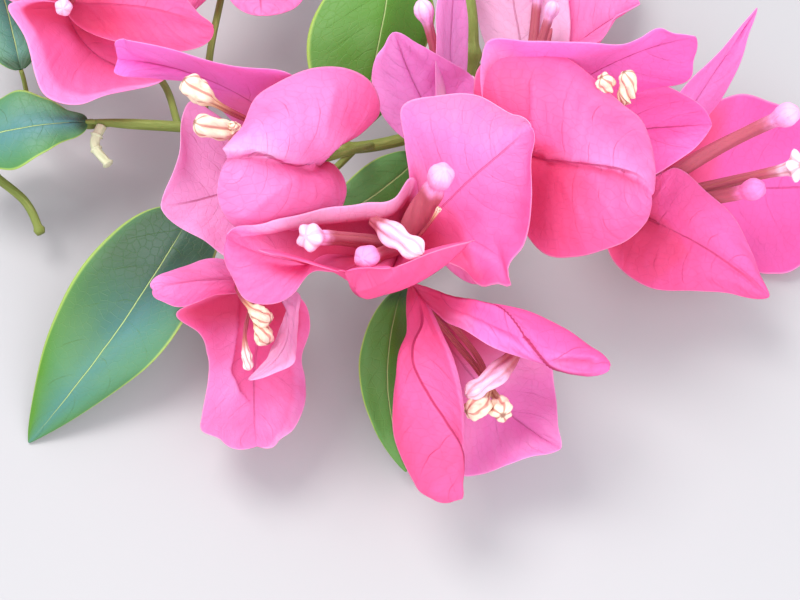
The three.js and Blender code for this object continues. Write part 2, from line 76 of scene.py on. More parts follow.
def seen(points):
    """Where points of the frame are seen, as u and v: place read backwards."""
    away = points - SET_DOWN
    near = 1 - away @ FRONT / EYE
    return away[..., 0] / near, away @ UP / near


print("middle of the view:", np.round(place([0, 0, 0]), 2))

# %% [markdown]
# ## Camera
#
# The camera stands where the eye stands: 300 mm in front of the spray, which means above it and a little
# towards its lower end. A 72 mm lens on a 36 mm sensor takes in 150 mm at that distance.

# %% Set the camera
lens = bpy.data.cameras.new("camera")
lens.lens = 72
lens.sensor_width = 36
lens.clip_start = 0.01
camera = bpy.data.objects.new("camera", lens)
camera.location = (SET_DOWN + FRONT * EYE) * MM
camera.rotation_euler = (math.pi / 2 - LEAN, 0, 0)
bpy.context.scene.collection.objects.link(camera)
bpy.context.scene.camera = camera
print("camera at", [round(c, 3) for c in camera.location])

# %% [markdown]
# ## Blades
#
# A bract and a leaf are the same kind of shape, a blade with a midrib and two margins. It could be pulled
# into shape by hand from a flat grid, but thirty bracts would take days that way, and a formula is easier
# to correct. So the midrib is a parabola through three points. Each margin is known at a few places, and a
# smooth curve through them is shaped by how quickly the blade widens at its base and closes at its tip.
# Two numbers then place any point: s runs from base to tip and t from the left margin, -1, to the right
# one, 1.

# %% The blade's outline
PLAIN = dict(
    belly=(0, 0), ends=(0.5, 0.6), lobe=0, wave=(0.25, 0.25), curl=(0.15, 0.15), puff=0.14, keel=-0.2,
    sway=((0, 0), (1, 0)), tone=(0, 0, 0, 0), rim=(0, 0), cool=0, blush=(0.3, 0.3), veins=0.6, folds=(),
)


def unit(v):
    """Vectors of length 1 in the same directions."""
    return v / np.maximum(np.linalg.norm(v, axis=-1, keepdims=True), 1e-9)


def midrib(blade, s):
    """The parabola through base, middle and tip at the shares s of its length."""
    s = s[..., None]
    base, mid, tip = blade["base"], blade["mid"], blade["tip"]
    return base * (1 - s) * (1 - 2 * s) + mid * 4 * s * (1 - s) + tip * s * (2 * s - 1)


def swell(blade, s):
    """s to the power of one number times (1 - s) to another: small powers make full, blunt ends."""
    return s ** blade["ends"][0] * (1 - s) ** blade["ends"][1]


def margin(blade, side, s):
    """How far a margin stands from the midrib: the swell at s, times the known offsets over their own
    swells, which are joined by cubics that pass level through the first and the last of them."""
    shares, offsets = blade[side]
    known = offsets / swell(blade, shares)[:, None]
    if len(shares) == 1:
        return known[0] * swell(blade, s)[..., None]
    slope = np.gradient(known, shares, axis=0)
    slope[[0, -1]] = 0
    k = np.clip(np.searchsorted(shares, s) - 1, 0, len(shares) - 2)
    gap = shares[k + 1] - shares[k]
    f = np.clip((s - shares[k]) / gap, 0, 1)[..., None]
    cubic = known[k] + f**2 * (3 - 2 * f) * (known[k + 1] - known[k])
    cubic += f * (1 - f) * ((1 - f) * slope[k] - f * slope[k + 1]) * gap[..., None]
    return cubic * swell(blade, s)[..., None]


def read_blade(base, tip, mid, left, right, **more):
    """A blade's places in the frame, with each margin as shares and offsets from the midrib, and whatever
    differs from PLAIN. Its shape: belly is how far the left and right halves bow out, in mm, ends the two
    powers of the swell, lobe how far the lobes reach back as a share of the length, wave and curl how far
    the margins wave and roll back, in mm, puff how far the tissue swells, keel how high the midrib stands
    and sway where it runs between the margins. Its paint: tone is the tint in the middle and how it
    changes along, across and outwards, from rose at -1 over pink and lilac to a pale lilac at 2, partly
    the bract's own colour and partly painted light and shade, paler where it was lit and rosier where it
    lay in shade. rim is the painted light that the left and right rims add to it, cool how far it leans to
    magenta, blush how far the deep red of the heart, mostly painted shade, reaches into each half,
    and veins how strongly they are drawn. On a leaf, tone is how strongly the painted reflection of the
    sky shows, and blush how far its painted shade reaches. folds are described below."""
    blade = {**PLAIN, **more, "base": place(base), "tip": place(tip), "mid": place(mid)}
    for side, places in (("left", left), ("right", right)):
        places = np.array(places, float)
        shares = places[:, 0]
        blade[side] = (shares, place(places[:, 1:]) - midrib(blade, shares))
    return blade


print("what a blade may set:", ", ".join(PLAIN))

# %% [markdown]
# Between midrib and margins the blade bows out like a spoon, by its belly, and beside its base the lobes
# reach back a little. The midrib doesn't always run in the middle: where a bract is folded or turned, it
# swings from one side to the other, and t is then counted from where it really is.

# %% The smooth blade
LOBE_SHARE = 0.2  # where the lobes beside the base reach furthest back
EVENINGS = 6  # rounds that soften the bends of a swaying midrib


def blade_points(blade, s, t):
    """Points of the blade for grids s and t: the midrib, plus |t| times the margin's offset, plus the
    belly as the parabola 4|t|(1 - |t|), less the lobes as |t|^1.5 s (1 - s)^4 along the chord."""
    chord = blade["tip"] - blade["base"]
    a = np.abs(t)[..., None]
    off = np.where(t[..., None] > 0, margin(blade, "right", s), margin(blade, "left", s))
    bow = unit(np.cross(unit(chord), off))
    bow = np.where((bow @ FRONT)[..., None] < 0, -bow, bow)
    most = swell(blade, np.linspace(0.01, 0.99, 99)).max()
    full = (swell(blade, s) / most)[..., None]
    belly = np.where(t > 0, blade["belly"][1], blade["belly"][0])[..., None]
    back = (s * (1 - s) ** 4 / (LOBE_SHARE * (1 - LOBE_SHARE) ** 4))[..., None]
    rib = midrib(blade, s)
    return rib + off * a + bow * belly * full * 4 * a * (1 - a) - chord * blade["lobe"] * a**1.5 * back


def soften(values, rounds):
    """Evens out a row of values: each becomes a quarter of both neighbours plus half of itself."""
    for _ in range(rounds):
        padded = np.pad(values, 1, mode="edge")
        values = padded[:-2] / 4 + padded[1:-1] / 2 + padded[2:] / 4
    return values


def swayed(blade, s, t):
    """t counted from where the midrib really runs: the stretch on each side of it is set to 1 again."""
    knots = np.array(blade["sway"], float)
    middle = soften(np.interp(s[:, 0], knots[:, 0], knots[:, 1]), EVENINGS)[:, None]
    return np.where(t > middle, (t - middle) / (1 - middle), (t - middle) / (1 + middle))


print("lobes reach back most at", LOBE_SHARE, "of the length")

# %% [markdown]
# On top of that sits what makes a bract look papery: the tissue swells between the side veins, the midrib
# is sunken, the margins wave, and their last millimetre rolls back. The side veins leave the midrib in
# even steps and climb towards the tip. The same formula for them is used again in the paint, so the
# swellings and the drawn veins fall together.

# %% What stands off the blade
VEINS = 6.5  # side veins along a blade
RISE = 0.22  # how far they climb towards the tip, as a share of the length
CLIMB = 1.3  # the power of |t| by which they climb
BUCKLE = 2.5  # height of the slow buckles, as a multiple of the swellings
KEEL_WIDTH = 0.08  # width of the midrib's bell, as a share of half the blade
ROLL_START = 0.8  # where across the blade the margin starts to roll


def vein_count(s, t):
    """How many side veins lie between the base and a point: even steps along the midrib, less the climb
    of the veins towards the margin, with the right side half a step behind."""
    return VEINS * (s - RISE * np.abs(t) ** CLIMB) + 0.5 * (t > 0)


def relief(blade, s, t, seed):
    """How far the surface stands off the smooth blade, in mm: swellings as the root of |cos| between
    veins, slow buckles as a product of two sines, the keel as a bell, waves of the margins as a sum of
    two sines, and a rolled edge as a parabola."""
    rng = np.random.default_rng(seed)
    a = np.abs(t)
    open_field = np.clip(4 * a * (1 - a), 0, 1) ** 0.6 * np.clip(6 * s * (1 - s), 0, 1)
    puff = blade["puff"] * np.abs(np.cos(np.pi * vein_count(s, t))) ** 0.7 * open_field
    phase = rng.uniform(0, 2 * np.pi, 2)
    slow, quick = np.sin(6 * s + 3.3 * t + phase[0]), np.sin(4.5 * t - 3 * s + phase[1])
    buckle = BUCKLE * blade["puff"] * slow * quick * open_field
    keel = blade["keel"] * np.exp(-((t / KEEL_WIDTH) ** 2)) * np.clip(8 * (1 - s), 0, 1)
    turns, start = rng.uniform(1.2, 2.2, 2), rng.uniform(0, 2 * np.pi, 2)
    side = (t > 0).astype(int)
    sine = np.sin(2 * np.pi * turns[side] * s + start[side]) + 0.3 * np.sin(5 * np.pi * turns[side] * s)
    wave = np.array(blade["wave"])[side] * a**3 * sine * np.clip(5 * s * (1 - s), 0, 1)
    roll = np.clip((a - ROLL_START) / (1 - ROLL_START), 0, 1) ** 2 * np.clip(5 * (1 - s), 0, 1)
    return puff + buckle + keel + wave - np.array(blade["curl"])[side] * roll


print("side veins on a blade:", VEINS)

# %% [markdown]
# The large folds are written down one by one, because they make a bloom look like this one: the way that
# a fold takes over the bract as the eye sees it, and then its ridges. A single ridge with wide flanks is
# a soft wave. A tall one with one steep flank, beside a sunken one that falls the other way, is a step,
# as where the upper half of a folded bract overhangs the lower. A fold is painted as well: a raised side
# paler, as a painted highlight, and a sunk side a deeper red, as painted shade.

# %% Folds, and the light and shade painted along them
FADE = 6  # a fold rises and dies away over 1 / FADE of its way
FOLD_LIGHT_AND_SHADE = 0.6  # how much a fold of 1 mm changes the tone, as a painted highlight where raised, or the share of deep red, as painted shade where sunk
RIM_LIGHT_START, RIM_LIGHT_BLEND = 0.74, 0.1  # where across the blade the rim's painted light starts, and over what share


def folds(blade, points):
    """The folds of a blade, in mm towards the eye. Each has its way as places u, v, and then for each
    ridge its height and the widths of its flanks to the left and right of the way. A ridge falls off as
    exp(-distance / width), and fades out at both ends of the way."""
    u, v = seen(points)
    total = np.zeros_like(u)
    for way, *ridges in blade["folds"]:
        way = np.array(way, float)
        runs = np.concatenate([[0], np.cumsum(np.linalg.norm(np.diff(way, axis=0), axis=1))])
        best, side, along = np.full_like(u, 1e9), np.zeros_like(u), np.zeros_like(u)
        for k in range(len(way) - 1):
            du, dv = way[k + 1] - way[k]
            f = np.clip(((u - way[k, 0]) * du + (v - way[k, 1]) * dv) / (du**2 + dv**2), 0, 1)
            off_u, off_v = u - way[k, 0] - f * du, v - way[k, 1] - f * dv
            nearer = np.hypot(off_u, off_v) < best
            best = np.where(nearer, np.hypot(off_u, off_v), best)
            side = np.where(nearer, du * off_v - dv * off_u, side)
            along = np.where(nearer, (runs[k] + f * (runs[k + 1] - runs[k])) / runs[-1], along)
        fade = np.clip(FADE * along, 0, 1) * np.clip(FADE * (1 - along), 0, 1)
        for high, left, right in ridges:
            total += high * fade * np.exp(-best / np.where(side > 0, left, right))
    return total


def tint_of(blade, s, t, fold):
    """Three numbers for the paint: the tone, whose slopes and rims hold painted light, paler on a raised
    fold as a painted highlight; the share of deep red, mostly painted shade in the heart, which also
    gathers in a sunk fold as painted shade and below 0 means a share of magenta; and the strength of the
    veins."""
    middle, along, across, outwards = blade["tone"]
    # The rims add painted light, where a rolled margin catches it, and clear the painted shade of the
    # heart.
    rim = np.clip((np.abs(t) - RIM_LIGHT_START) / RIM_LIGHT_BLEND, 0, 1)
    rim = np.array(blade["rim"])[(t > 0).astype(int)] * rim
    # The tone's slopes are partly the bract's own colour and partly painted light and shade, paler where
    # it was lit.
    tone = middle + along * (2 * s - 1) + across * t + outwards * np.abs(t) + rim
    # A raised fold is paler: painted highlight.
    tone = tone + FOLD_LIGHT_AND_SHADE * np.clip(fold, 0, 1)
    # The deep red reaches out from the heart: mostly painted shade, partly the bract's own deeper red. A
    # sunk fold gathers painted shade too.
    reach = np.interp(t, (-0.2, 0.2), blade["blush"]) + 0.02
    deep = np.clip((1 - s / reach) / 0.6, 0, 1) * np.clip((1 - np.abs(t)) / 0.25, 0, 1) ** 0.5
    deep = np.maximum(deep, FOLD_LIGHT_AND_SHADE * np.clip(-fold, 0, 1)) * np.clip(1 - rim, 0, 1)
    deep = deep - blade["cool"] * (1 - deep)
    return np.stack([tone, deep, blade["veins"] + 0 * s], -1)


print("a fold of 1 mm shifts the tone by", FOLD_LIGHT_AND_SHADE)

# %% [markdown]
# ## From grids to meshes
#
# Every surface here is a grid of points, worked out as whole arrays. A sheet gets two faces a hair apart,
# joined round the rim, so that it is a closed solid as paper is. A Solidify modifier could do that too,
# but here the sheet thins out towards its margin and its two faces take different paint. Each piece
# carries two maps: "blade" holds s and t, and "flat" holds real millimetres along and across, so that
# fine patterns keep their scale where the blade narrows.

# %% Closed sheets
FLAT = 60.0  # mm that one unit of the flat map stands for
FIRST, LAST = 0.004, 0.998  # where the rows start and end, a hair inside base and tip
CROWD = 0.25  # how far the columns crowd towards the margins
THINNED = 0.65  # share of the thickness that is gone at the margin


def closed_sheet(points, out, thick, maps, slots, tint):
    """Two copies of a grid, half the thickness in front of it and half behind, and a strip of quads round
    the rim. out is the unit normal of each point, slots are the materials of front and back."""
    half = out * thick[..., None] / 2
    rows, cols = points.shape[:2]
    count = rows * cols
    index = np.arange(count).reshape(rows, cols)
    front = np.stack([index[:-1, :-1], index[1:, :-1], index[1:, 1:], index[:-1, 1:]], -1).reshape(-1, 4)
    rim = np.concatenate([index[0, :-1], index[:-1, -1], index[-1, :0:-1], index[:0:-1, 0]])
    after = np.roll(rim, -1)
    edge = np.stack([rim, after, after + count, rim + count], -1)
    faces = np.concatenate([front, front[:, ::-1] + count, edge])
    maps = [[np.concatenate([m.reshape(-1, 2)] * 2)[faces]] for m in maps]
    slot = np.repeat([slots[0], slots[1], slots[1]], [len(front), len(front), len(edge)])
    verts = np.concatenate([(points + half).reshape(-1, 3), (points - half).reshape(-1, 3)])
    tint = np.tile(tint.reshape(-1, 3), (2, 1))
    return dict(verts=verts, faces=[faces], maps=maps, slots=[slot], tint=tint)


def blade_part(blade, thick, rows, cols, seed, inside):
    """A blade as a closed sheet: rows crowd towards base and tip as a cosine does, so that round ends
    stay round. inside is a point that the front material has to face."""
    x = np.linspace(0, 1, rows)
    s = FIRST + (LAST - FIRST) * (1 - np.cos(np.pi * x)) / 2
    tau = np.linspace(-1, 1, cols)
    t = (1 - CROWD) * tau + CROWD * np.sin(np.pi / 2 * tau)
    s, t = np.meshgrid(s, t, indexing="ij")
    points = blade_points(blade, s, t)
    out = unit(np.cross(np.gradient(points, axis=0), np.gradient(points, axis=1)))
    facing = np.sum(out * (inside - points)) >= 0
    width = np.linalg.norm(margin(blade, "right", s), axis=-1)
    width = np.where(t > 0, width, np.linalg.norm(margin(blade, "left", s), axis=-1))
    thick = thick * (1 - THINNED * np.abs(t) ** 6)
    fold = folds(blade, points)
    tint = tint_of(blade, s, t, fold)
    t = swayed(blade, s, t)
    lift = relief(blade, s, t, seed) * (1 if facing else -1) + np.sign(np.sum(out @ FRONT)) * fold
    points = points + out * lift[..., None]
    out = unit(np.cross(np.gradient(points, axis=0), np.gradient(points, axis=1)))
    steps = np.linalg.norm(np.diff(midrib(blade, s[:, 0]), axis=0), axis=1)
    along = np.concatenate([[0], np.cumsum(steps)])[:, None] + 0 * t
    maps = [np.stack([s, (t + 1) / 2], -1), np.stack([along, t * width], -1) / FLAT]
    return closed_sheet(points, out, thick, maps, (0, 1) if facing else (1, 0), tint)


# %% [markdown]
# A piece is a list of such parts, or of tubes, joined into one mesh. It lies where the solid lies, with
# its object at the origin, and takes that solid's place in the scene.

# %% Pieces
def make_piece(name, parts, materials, nodes):
    """One mesh object from parts in mm, placed in the frame, that rides on the body and stands for the
    CAD nodes named. Three numbers on every vertex tint its paint."""
    faces, slots, start = [], [], 0
    maps = [[], []]
    for part in parts:
        for j, group in enumerate(part["faces"]):
            faces += (group + start).tolist()
            slots.append(part["slots"][j])
            for m in (0, 1):
                maps[m].append(part["maps"][m][j].reshape(-1, 2))
        start += len(part["verts"])
    mesh = bpy.data.meshes.new(name)
    mesh.from_pydata((np.concatenate([part["verts"] for part in parts]) * MM).tolist(), [], faces)
    for label, values in zip(("blade", "flat"), maps):
        layer = mesh.uv_layers.new(name=label)
        layer.data.foreach_set("uv", np.concatenate(values).astype(np.float32).ravel())
    tints = np.concatenate([part["tint"] for part in parts]).astype(np.float32)
    mesh.attributes.new("tint", "FLOAT_VECTOR", "POINT").data.foreach_set("vector", tints.ravel())
    mesh.polygons.foreach_set("material_index", np.concatenate(slots).astype(np.int32))
    mesh.polygons.foreach_set("use_smooth", np.ones(len(mesh.polygons), bool))
    for material in materials:
        mesh.materials.append(material)
    mesh.validate()
    piece = bpy.data.objects.new(name, mesh)
    bpy.context.scene.collection.objects.link(piece)
    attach(piece, "root")
    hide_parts(*nodes)
    print(f"{name}: {len(parts)} parts, {sum(len(f) - 2 for f in faces)} triangles")


# %% [markdown]
# ## Tubes
#
# Stems, stalks and flowers are profiles carried along a curve. A stem's curve runs smoothly through its
# places, and a flower's bends once or twice on its way from the heart to its head. Blender's own curves
# can be thickened, but only evenly all round. Here rings of points stand square to the curve, and the
# radius may change along it and round it, which gives buds their five ribs.

# %% Curves and tubes
AIM = unit(np.array([0.3, 0.4, 0.9]))  # no limb runs this way, so it steadies the rings


def through(places, shares):
    """A smooth curve through places: each stretch is the cubic that leaves and meets its two ends with
    half the step between their neighbours as its slope."""
    p = place(places)
    p = np.concatenate([[2 * p[0] - p[1]], p, [2 * p[-1] - p[-2]]])
    x = shares * (len(p) - 3)
    k = np.minimum(x.astype(int), len(p) - 4)
    f = (x - k)[:, None]
    a, b, c, d = p[k], p[k + 1], p[k + 2], p[k + 3]
    return b + f * ((c - a) / 2 + f * (a - 2.5 * b + 2 * c - d / 2 + f * (1.5 * (b - c) + (d - a) / 2)))


def bend(places, shares):
    """One sweeping curve that only three or four places pull at: the sum of the places, each weighted by
    its binomial term in s and 1 - s."""
    p = place(places)
    n = len(p) - 1
    s = shares[:, None]
    return sum(math.comb(n, k) * (1 - s) ** (n - k) * s**k * p[k] for k in range(n + 1))


def tube(path, shares, radius, slot=0, twist=0.0, tone=0.0):
    """A closed tube along a path: each ring is the path's point plus radius times a turning unit vector,
    and a point on the axis closes each end. radius is a grid, rings by sides, in mm."""
    rings, sides = radius.shape
    ahead = unit(np.gradient(path, axis=0))
    x = unit(np.cross(ahead, AIM))
    y = np.cross(ahead, x)
    turn = 2 * np.pi * np.arange(sides) / sides
    ring = x[:, None] * np.cos(turn)[:, None] + y[:, None] * np.sin(turn)[:, None]
    verts = (path[:, None] + ring * radius[..., None]).reshape(-1, 3)
    i, j = np.meshgrid(np.arange(rings - 1), np.arange(sides), indexing="ij")
    corners = [(i, j), (i, j + 1), (i + 1, j + 1), (i + 1, j)]
    quads = np.stack([r * sides + c % sides for r, c in corners], -1).reshape(-1, 4)
    long = np.concatenate([[0], np.cumsum(np.linalg.norm(np.diff(path, axis=0), axis=1))])
    spin = twist * shares / (2 * np.pi)
    girth = 2 * np.pi * radius.mean() / sides
    turned = [np.stack([shares[r], c / sides + spin[r]], -1) for r, c in corners]
    rolled = [np.stack([long[r], girth * c], -1) / FLAT for r, c in corners]
    quad_maps = [np.stack(m, -2).reshape(-1, 4, 2) for m in (turned, rolled)]
    first, last = len(verts), len(verts) + 1
    a, b = np.arange(sides), np.roll(np.arange(sides), -1)
    base = (rings - 1) * sides
    caps = [np.stack([b, a, 0 * a + first], -1), np.stack([base + a, base + b, 0 * a + last], -1)]
    cap_maps = []
    for r, cap in zip((0, rings - 1), caps):
        at = np.stack([np.full(3, shares[r]), np.full(3, 0.5)], -1)
        cap_maps.append(np.broadcast_to(at, cap.shape + (2,)))
    verts = np.concatenate([verts, path[:1], path[-1:]])
    faces = [quads, *caps]
    slots = [np.full(len(f), slot) for f in faces]
    maps = [[quad_maps[0], *cap_maps], [quad_maps[1], *[m / FLAT for m in cap_maps]]]
    tint = np.tile((tone, 0, 0), (len(verts), 1))
    return dict(verts=verts, faces=faces, maps=maps, slots=slots, tint=tint)


print("one unit of the flat map:", FLAT, "mm")

# %% [markdown]
# ## Paint
#
# A material is worked out at every point from small formulas: how far is the nearest vein, how near the
# margin, is this patch a little lilac. Painted pictures would do as well from afar, but formulas stay
# sharp from close by. One class wraps a socket so that such a formula can be written as algebra, and one
# method adds any other node.

# %% Values and paint
class Value:
    """One socket of a material that stands in a formula as a number does."""

    def __init__(self, paint, socket):
        self.paint, self.socket = paint, socket

    def __add__(self, other):
        return self.paint.math("ADD", self, other)

    def __sub__(self, other):
        return self.paint.math("SUBTRACT", self, other)

    def __rsub__(self, other):
        return self.paint.math("SUBTRACT", other, self)

    def __mul__(self, other):
        return self.paint.math("MULTIPLY", self, other)

    def __pow__(self, other):
        return self.paint.math("POWER", self, other)

    def __abs__(self):
        return self.paint.math("ABSOLUTE", self)

    __radd__ = __add__
    __rmul__ = __mul__


class Paint:
    """A material and the few kinds of node that its formulas need."""

    def __init__(self, name):
        self.material = bpy.data.materials.new(name)
        self.material.use_nodes = True
        self.tree = self.material.node_tree
        self.tree.nodes.clear()

    def node(self, kind, settings=None, sockets=None, out=0):
        """Adds a node of this type, with its settings first and then values or links for its sockets."""
        made = self.tree.nodes.new(kind)
        for name, value in (settings or {}).items():
            setattr(made, name, value)
        for name, value in (sockets or {}).items():
            if isinstance(value, Value):
                self.tree.links.new(value.socket, made.inputs[name])
            else:
                made.inputs[name].default_value = value
        return Value(self, made.outputs[out]) if made.outputs else made

    def math(self, operation, *values):
        return self.node("ShaderNodeMath", {"operation": operation}, dict(enumerate(values)))

    def step(self, value, low, high):
        """0 below low and 1 above high, with a smooth change between them."""
        sockets = {0: value, 1: low, 2: high, 3: 0.0, 4: 1.0}
        return self.node("ShaderNodeMapRange", {"interpolation_type": "SMOOTHSTEP"}, sockets)

    def mix(self, share, a, b):
        """Colour a where share is 0 and b where it is 1. The Mix node has its colours at the sockets 6
        and 7, and at output 2."""
        a, b = [v if isinstance(v, Value) else (*v, 1.0) for v in (a, b)]
        return self.node("ShaderNodeMix", {"data_type": "RGBA"}, {0: share, 6: a, 7: b}, out=2)

    def parts(self, vector):
        """The three numbers of a vector."""
        first = self.node("ShaderNodeSeparateXYZ", sockets={0: vector})
        return [Value(self, socket) for socket in first.socket.node.outputs]

    def map(self, name):
        """The two numbers of a UV map, and both as one vector."""
        at = self.node("ShaderNodeUVMap", {"uv_map": name})
        x, y, _ = self.parts(at)
        return x, y, at

    def tint(self):
        """The three numbers that each part of the piece carries, from the Attribute node's output 1."""
        return self.parts(self.node("ShaderNodeAttribute", {"attribute_name": "tint"}, out=1))

    def noise(self, at, scale, detail=3.0, rough=0.5):
        """Soft cloudy noise from about 0.3 to 0.7."""
        sockets = {"Vector": at, "Scale": scale, "Detail": detail, "Roughness": rough}
        return self.node("ShaderNodeTexNoise", sockets=sockets)

    def streaks(self, at, narrow, scale):
        """Noise that is drawn out lengthwise, by squeezing it across."""
        squeezed = self.node("ShaderNodeMapping", sockets={"Vector": at, "Scale": (1.0, narrow, 1.0)})
        return self.noise(squeezed, scale)

    def finish(self, colour, rough, height=None, depth=0.0003, glow=0.0, glow_colour=None, plain=None):
        """A Principled surface with this colour and roughness, bumped by height in steps of depth metres.
        glow is the share of light that comes through from behind. plain holds what never varies."""
        sockets = {"Base Color": colour, "Roughness": rough, **(plain or {})}
        if height is not None:
            bump = {"Strength": 1.0, "Distance": depth, "Height": height}
            sockets["Normal"] = self.node("ShaderNodeBump", sockets=bump)
        skin = self.node("ShaderNodeBsdfPrincipled", sockets=sockets)
        if glow:
            through_light = self.node("ShaderNodeBsdfTranslucent", sockets={"Color": (*glow_colour, 1.0)})
            skin = self.node("ShaderNodeMixShader", sockets={0: glow, 1: skin, 2: through_light})
        self.node("ShaderNodeOutputMaterial", sockets={"Surface": skin})
        return self.material


# %% [markdown]
# ## Bracts
#
# A bract is thin as paper. Light comes through it, so it glows where the light stands behind it. Its inner
# face, towards the flowers, is a little more lilac, and its outer face is a warmer pink with stronger
# veins: a dark midrib, side veins that wander a little, and a fine net between them. The margin is a paler
# hair line. Towards the heart the tissue turns a deep red, which is mostly painted shade and partly its
# own deeper colour, and its tint carries painted light and shade as well: paler where it was lit, on
# raised folds and on rolled rims, and redder in sunk folds.

# %% Veins in the paint
SOFT = {"Specular IOR Level": 0.25}
NET_SCALE = 34.0  # cells of the net of veins in one unit of the flat map


def veins_of(p, s, t, y, at, step_mm, wander):
    """Three masks, for the midrib by its distance in mm, for side veins by their distance in steps, and
    for a net of cells by the distance to their borders. Then flutes, noise drawn out along the veins."""
    side = abs(t)
    slow = p.noise(at, 9.0, 2.0)
    drift = (slow - 0.5) * wander
    right = p.math("GREATER_THAN", t, 0.0)
    count = VEINS * (s - RISE * side**CLIMB) + 0.5 * right + drift
    off = abs(p.math("FRACT", count) - 0.5) * step_mm
    patch = p.step(slow, 0.36, 0.62)
    side_veins = (1 - p.step(off, 0.02, 0.12)) * (1 - p.step(side, 0.6, 0.95)) * patch
    wobble = abs(y + (p.noise(at, 5.0) - 0.5) * 0.8)
    rib = (1 - p.step(wobble, 0.07, 0.25)) * (1 - p.step(s, 0.75, 1.0)) * p.step(s, 0.04, 0.2)
    kind = {"feature": "DISTANCE_TO_EDGE", "voronoi_dimensions": "2D"}
    cells = p.node("ShaderNodeTexVoronoi", kind, {"Vector": at, "Scale": NET_SCALE, "Randomness": 0.9})
    net = 1 - p.step(cells, 0.0, 0.08)
    drawn_out = {"X": count * 3.0, "Y": side * 1.6, "Z": right * 9.0}
    return rib, side_veins, net, p.noise(p.node("ShaderNodeCombineXYZ", sockets=drawn_out), 1.3)


print("cells of the net are about", round(FLAT / NET_SCALE, 1), "mm wide")

# %% [markdown]
# The pinks could be one colour ramp, but the eye finds more than one thing going on. Rose, pink and lilac
# follow each other by a single number, the tone, which a slow cloud shifts from patch to patch and which
# also carries painted light and shade. Magenta and the deep red of the heart, which is mostly painted
# shade, come in by a second number, and the veins are drawn over all of them.

# %% Paint the bracts
LILAC = (1.0, 0.37, 0.80)
PALE_LILAC = (1.0, 0.66, 0.95)
MAGENTA = (0.94, 0.21, 0.86)
PINK = (0.98, 0.17, 0.46)
ROSE = (0.88, 0.09, 0.23)
# painted shade of a deep red, in the hearts of the blooms and in sunk folds
HEART_SHADE = (0.62, 0.04, 0.11)
VEIN = (0.50, 0.04, 0.14)
PALE_EDGE = (1.0, 0.52, 0.82)
GLOW = (1.0, 0.24, 0.55)
THROUGH = 0.35  # share of light that comes through a bract
VEIN_STEP = 38.0  # mm, the length of a middling bract, for the width of its side veins


def bract_paint(name, shift, heart_shade_share, net_share, side_share, rib_share):
    """The paint of one face: rose, pink and lilac follow the part's tone, which holds painted light and
    shade, shifted a little, and a slow cloud, HEART_SHADE, a deep red that is mostly painted shade, takes
    over towards the heart and in sunk folds, and the veins are mixed in last, each by its share."""
    p = Paint(name)
    s, across, _ = p.map("blade")
    _, y, at = p.map("flat")
    tone, deep, drawn = p.tint()
    t = across * 2 - 1
    rib, side_veins, net, flutes = veins_of(p, s, t, y * FLAT, at, VEIN_STEP / VEINS, 0.3)
    cloud = p.noise(at, 3.5, 4.0)
    # The part's tone holds painted light and shade; the cloud and the flutes are the tissue's own patchy
    # colour.
    tone = tone + (cloud - 0.5) * 1.2 + (flutes - 0.5) * 0.6 + shift
    tissue = p.mix(tone + 1.0, ROSE, PINK)
    tissue = p.mix(tone, tissue, LILAC)
    tissue = p.mix(tone - 1, tissue, PALE_LILAC)
    tissue = p.mix(deep * -1, tissue, MAGENTA)
    # painted shade: the deep red in the heart and in sunk folds
    tissue = p.mix(p.step(deep + (cloud - 0.5) * 0.3, 0.0, 1.0) * heart_shade_share, tissue, HEART_SHADE)
    tissue = p.mix(net * net_share, tissue, VEIN)
    tissue = p.mix(side_veins * drawn * side_share, tissue, VEIN)
    tissue = p.mix(rib * (drawn + 0.3) * rib_share, tissue, VEIN)
    tissue = p.mix(p.step(abs(t), 0.975, 0.995) * 0.45, tissue, PALE_EDGE)
    height = flutes * 0.55 - net * 0.12 - side_veins * 0.25 - rib * 0.6 + p.noise(at, 60.0, 2.0) * 0.25
    rough = 0.55 + (cloud - 0.5) * 0.2
    return p.finish(tissue, rough, height, glow=THROUGH, glow_colour=GLOW, plain=SOFT)


BRACT = (
    bract_paint("bract_inner", 0.1, 0.9, 0.06, 0.45, 0.6),
    bract_paint("bract_outer", -0.1, 0.7, 0.1, 0.65, 0.75),
)
print("bract materials:", [m.name for m in BRACT])

# %% [markdown]
# ## Flowers
#
# The true flower is a slim tube with five ribs, and its end is a small star that opens once. Here are
# the stages that a spray shows together: round buds, a star just folded, a half-folded funnel, one open
# star, and withered heads that have dried to cream and crumpled. Each could be sculpted, but they are all
# one tube at different ages, so each stage is a profile, a radius for a few shares of the length, with
# the depth of its ribs beside it.

# %% Flower shapes
RIBS = 5
HEAD_START = 0.66  # the share at which the tube ends and the head begins
HEAD_LONG = 2.7  # length of a head, as a multiple of its radius
RINGS, SIDES = 72, 35
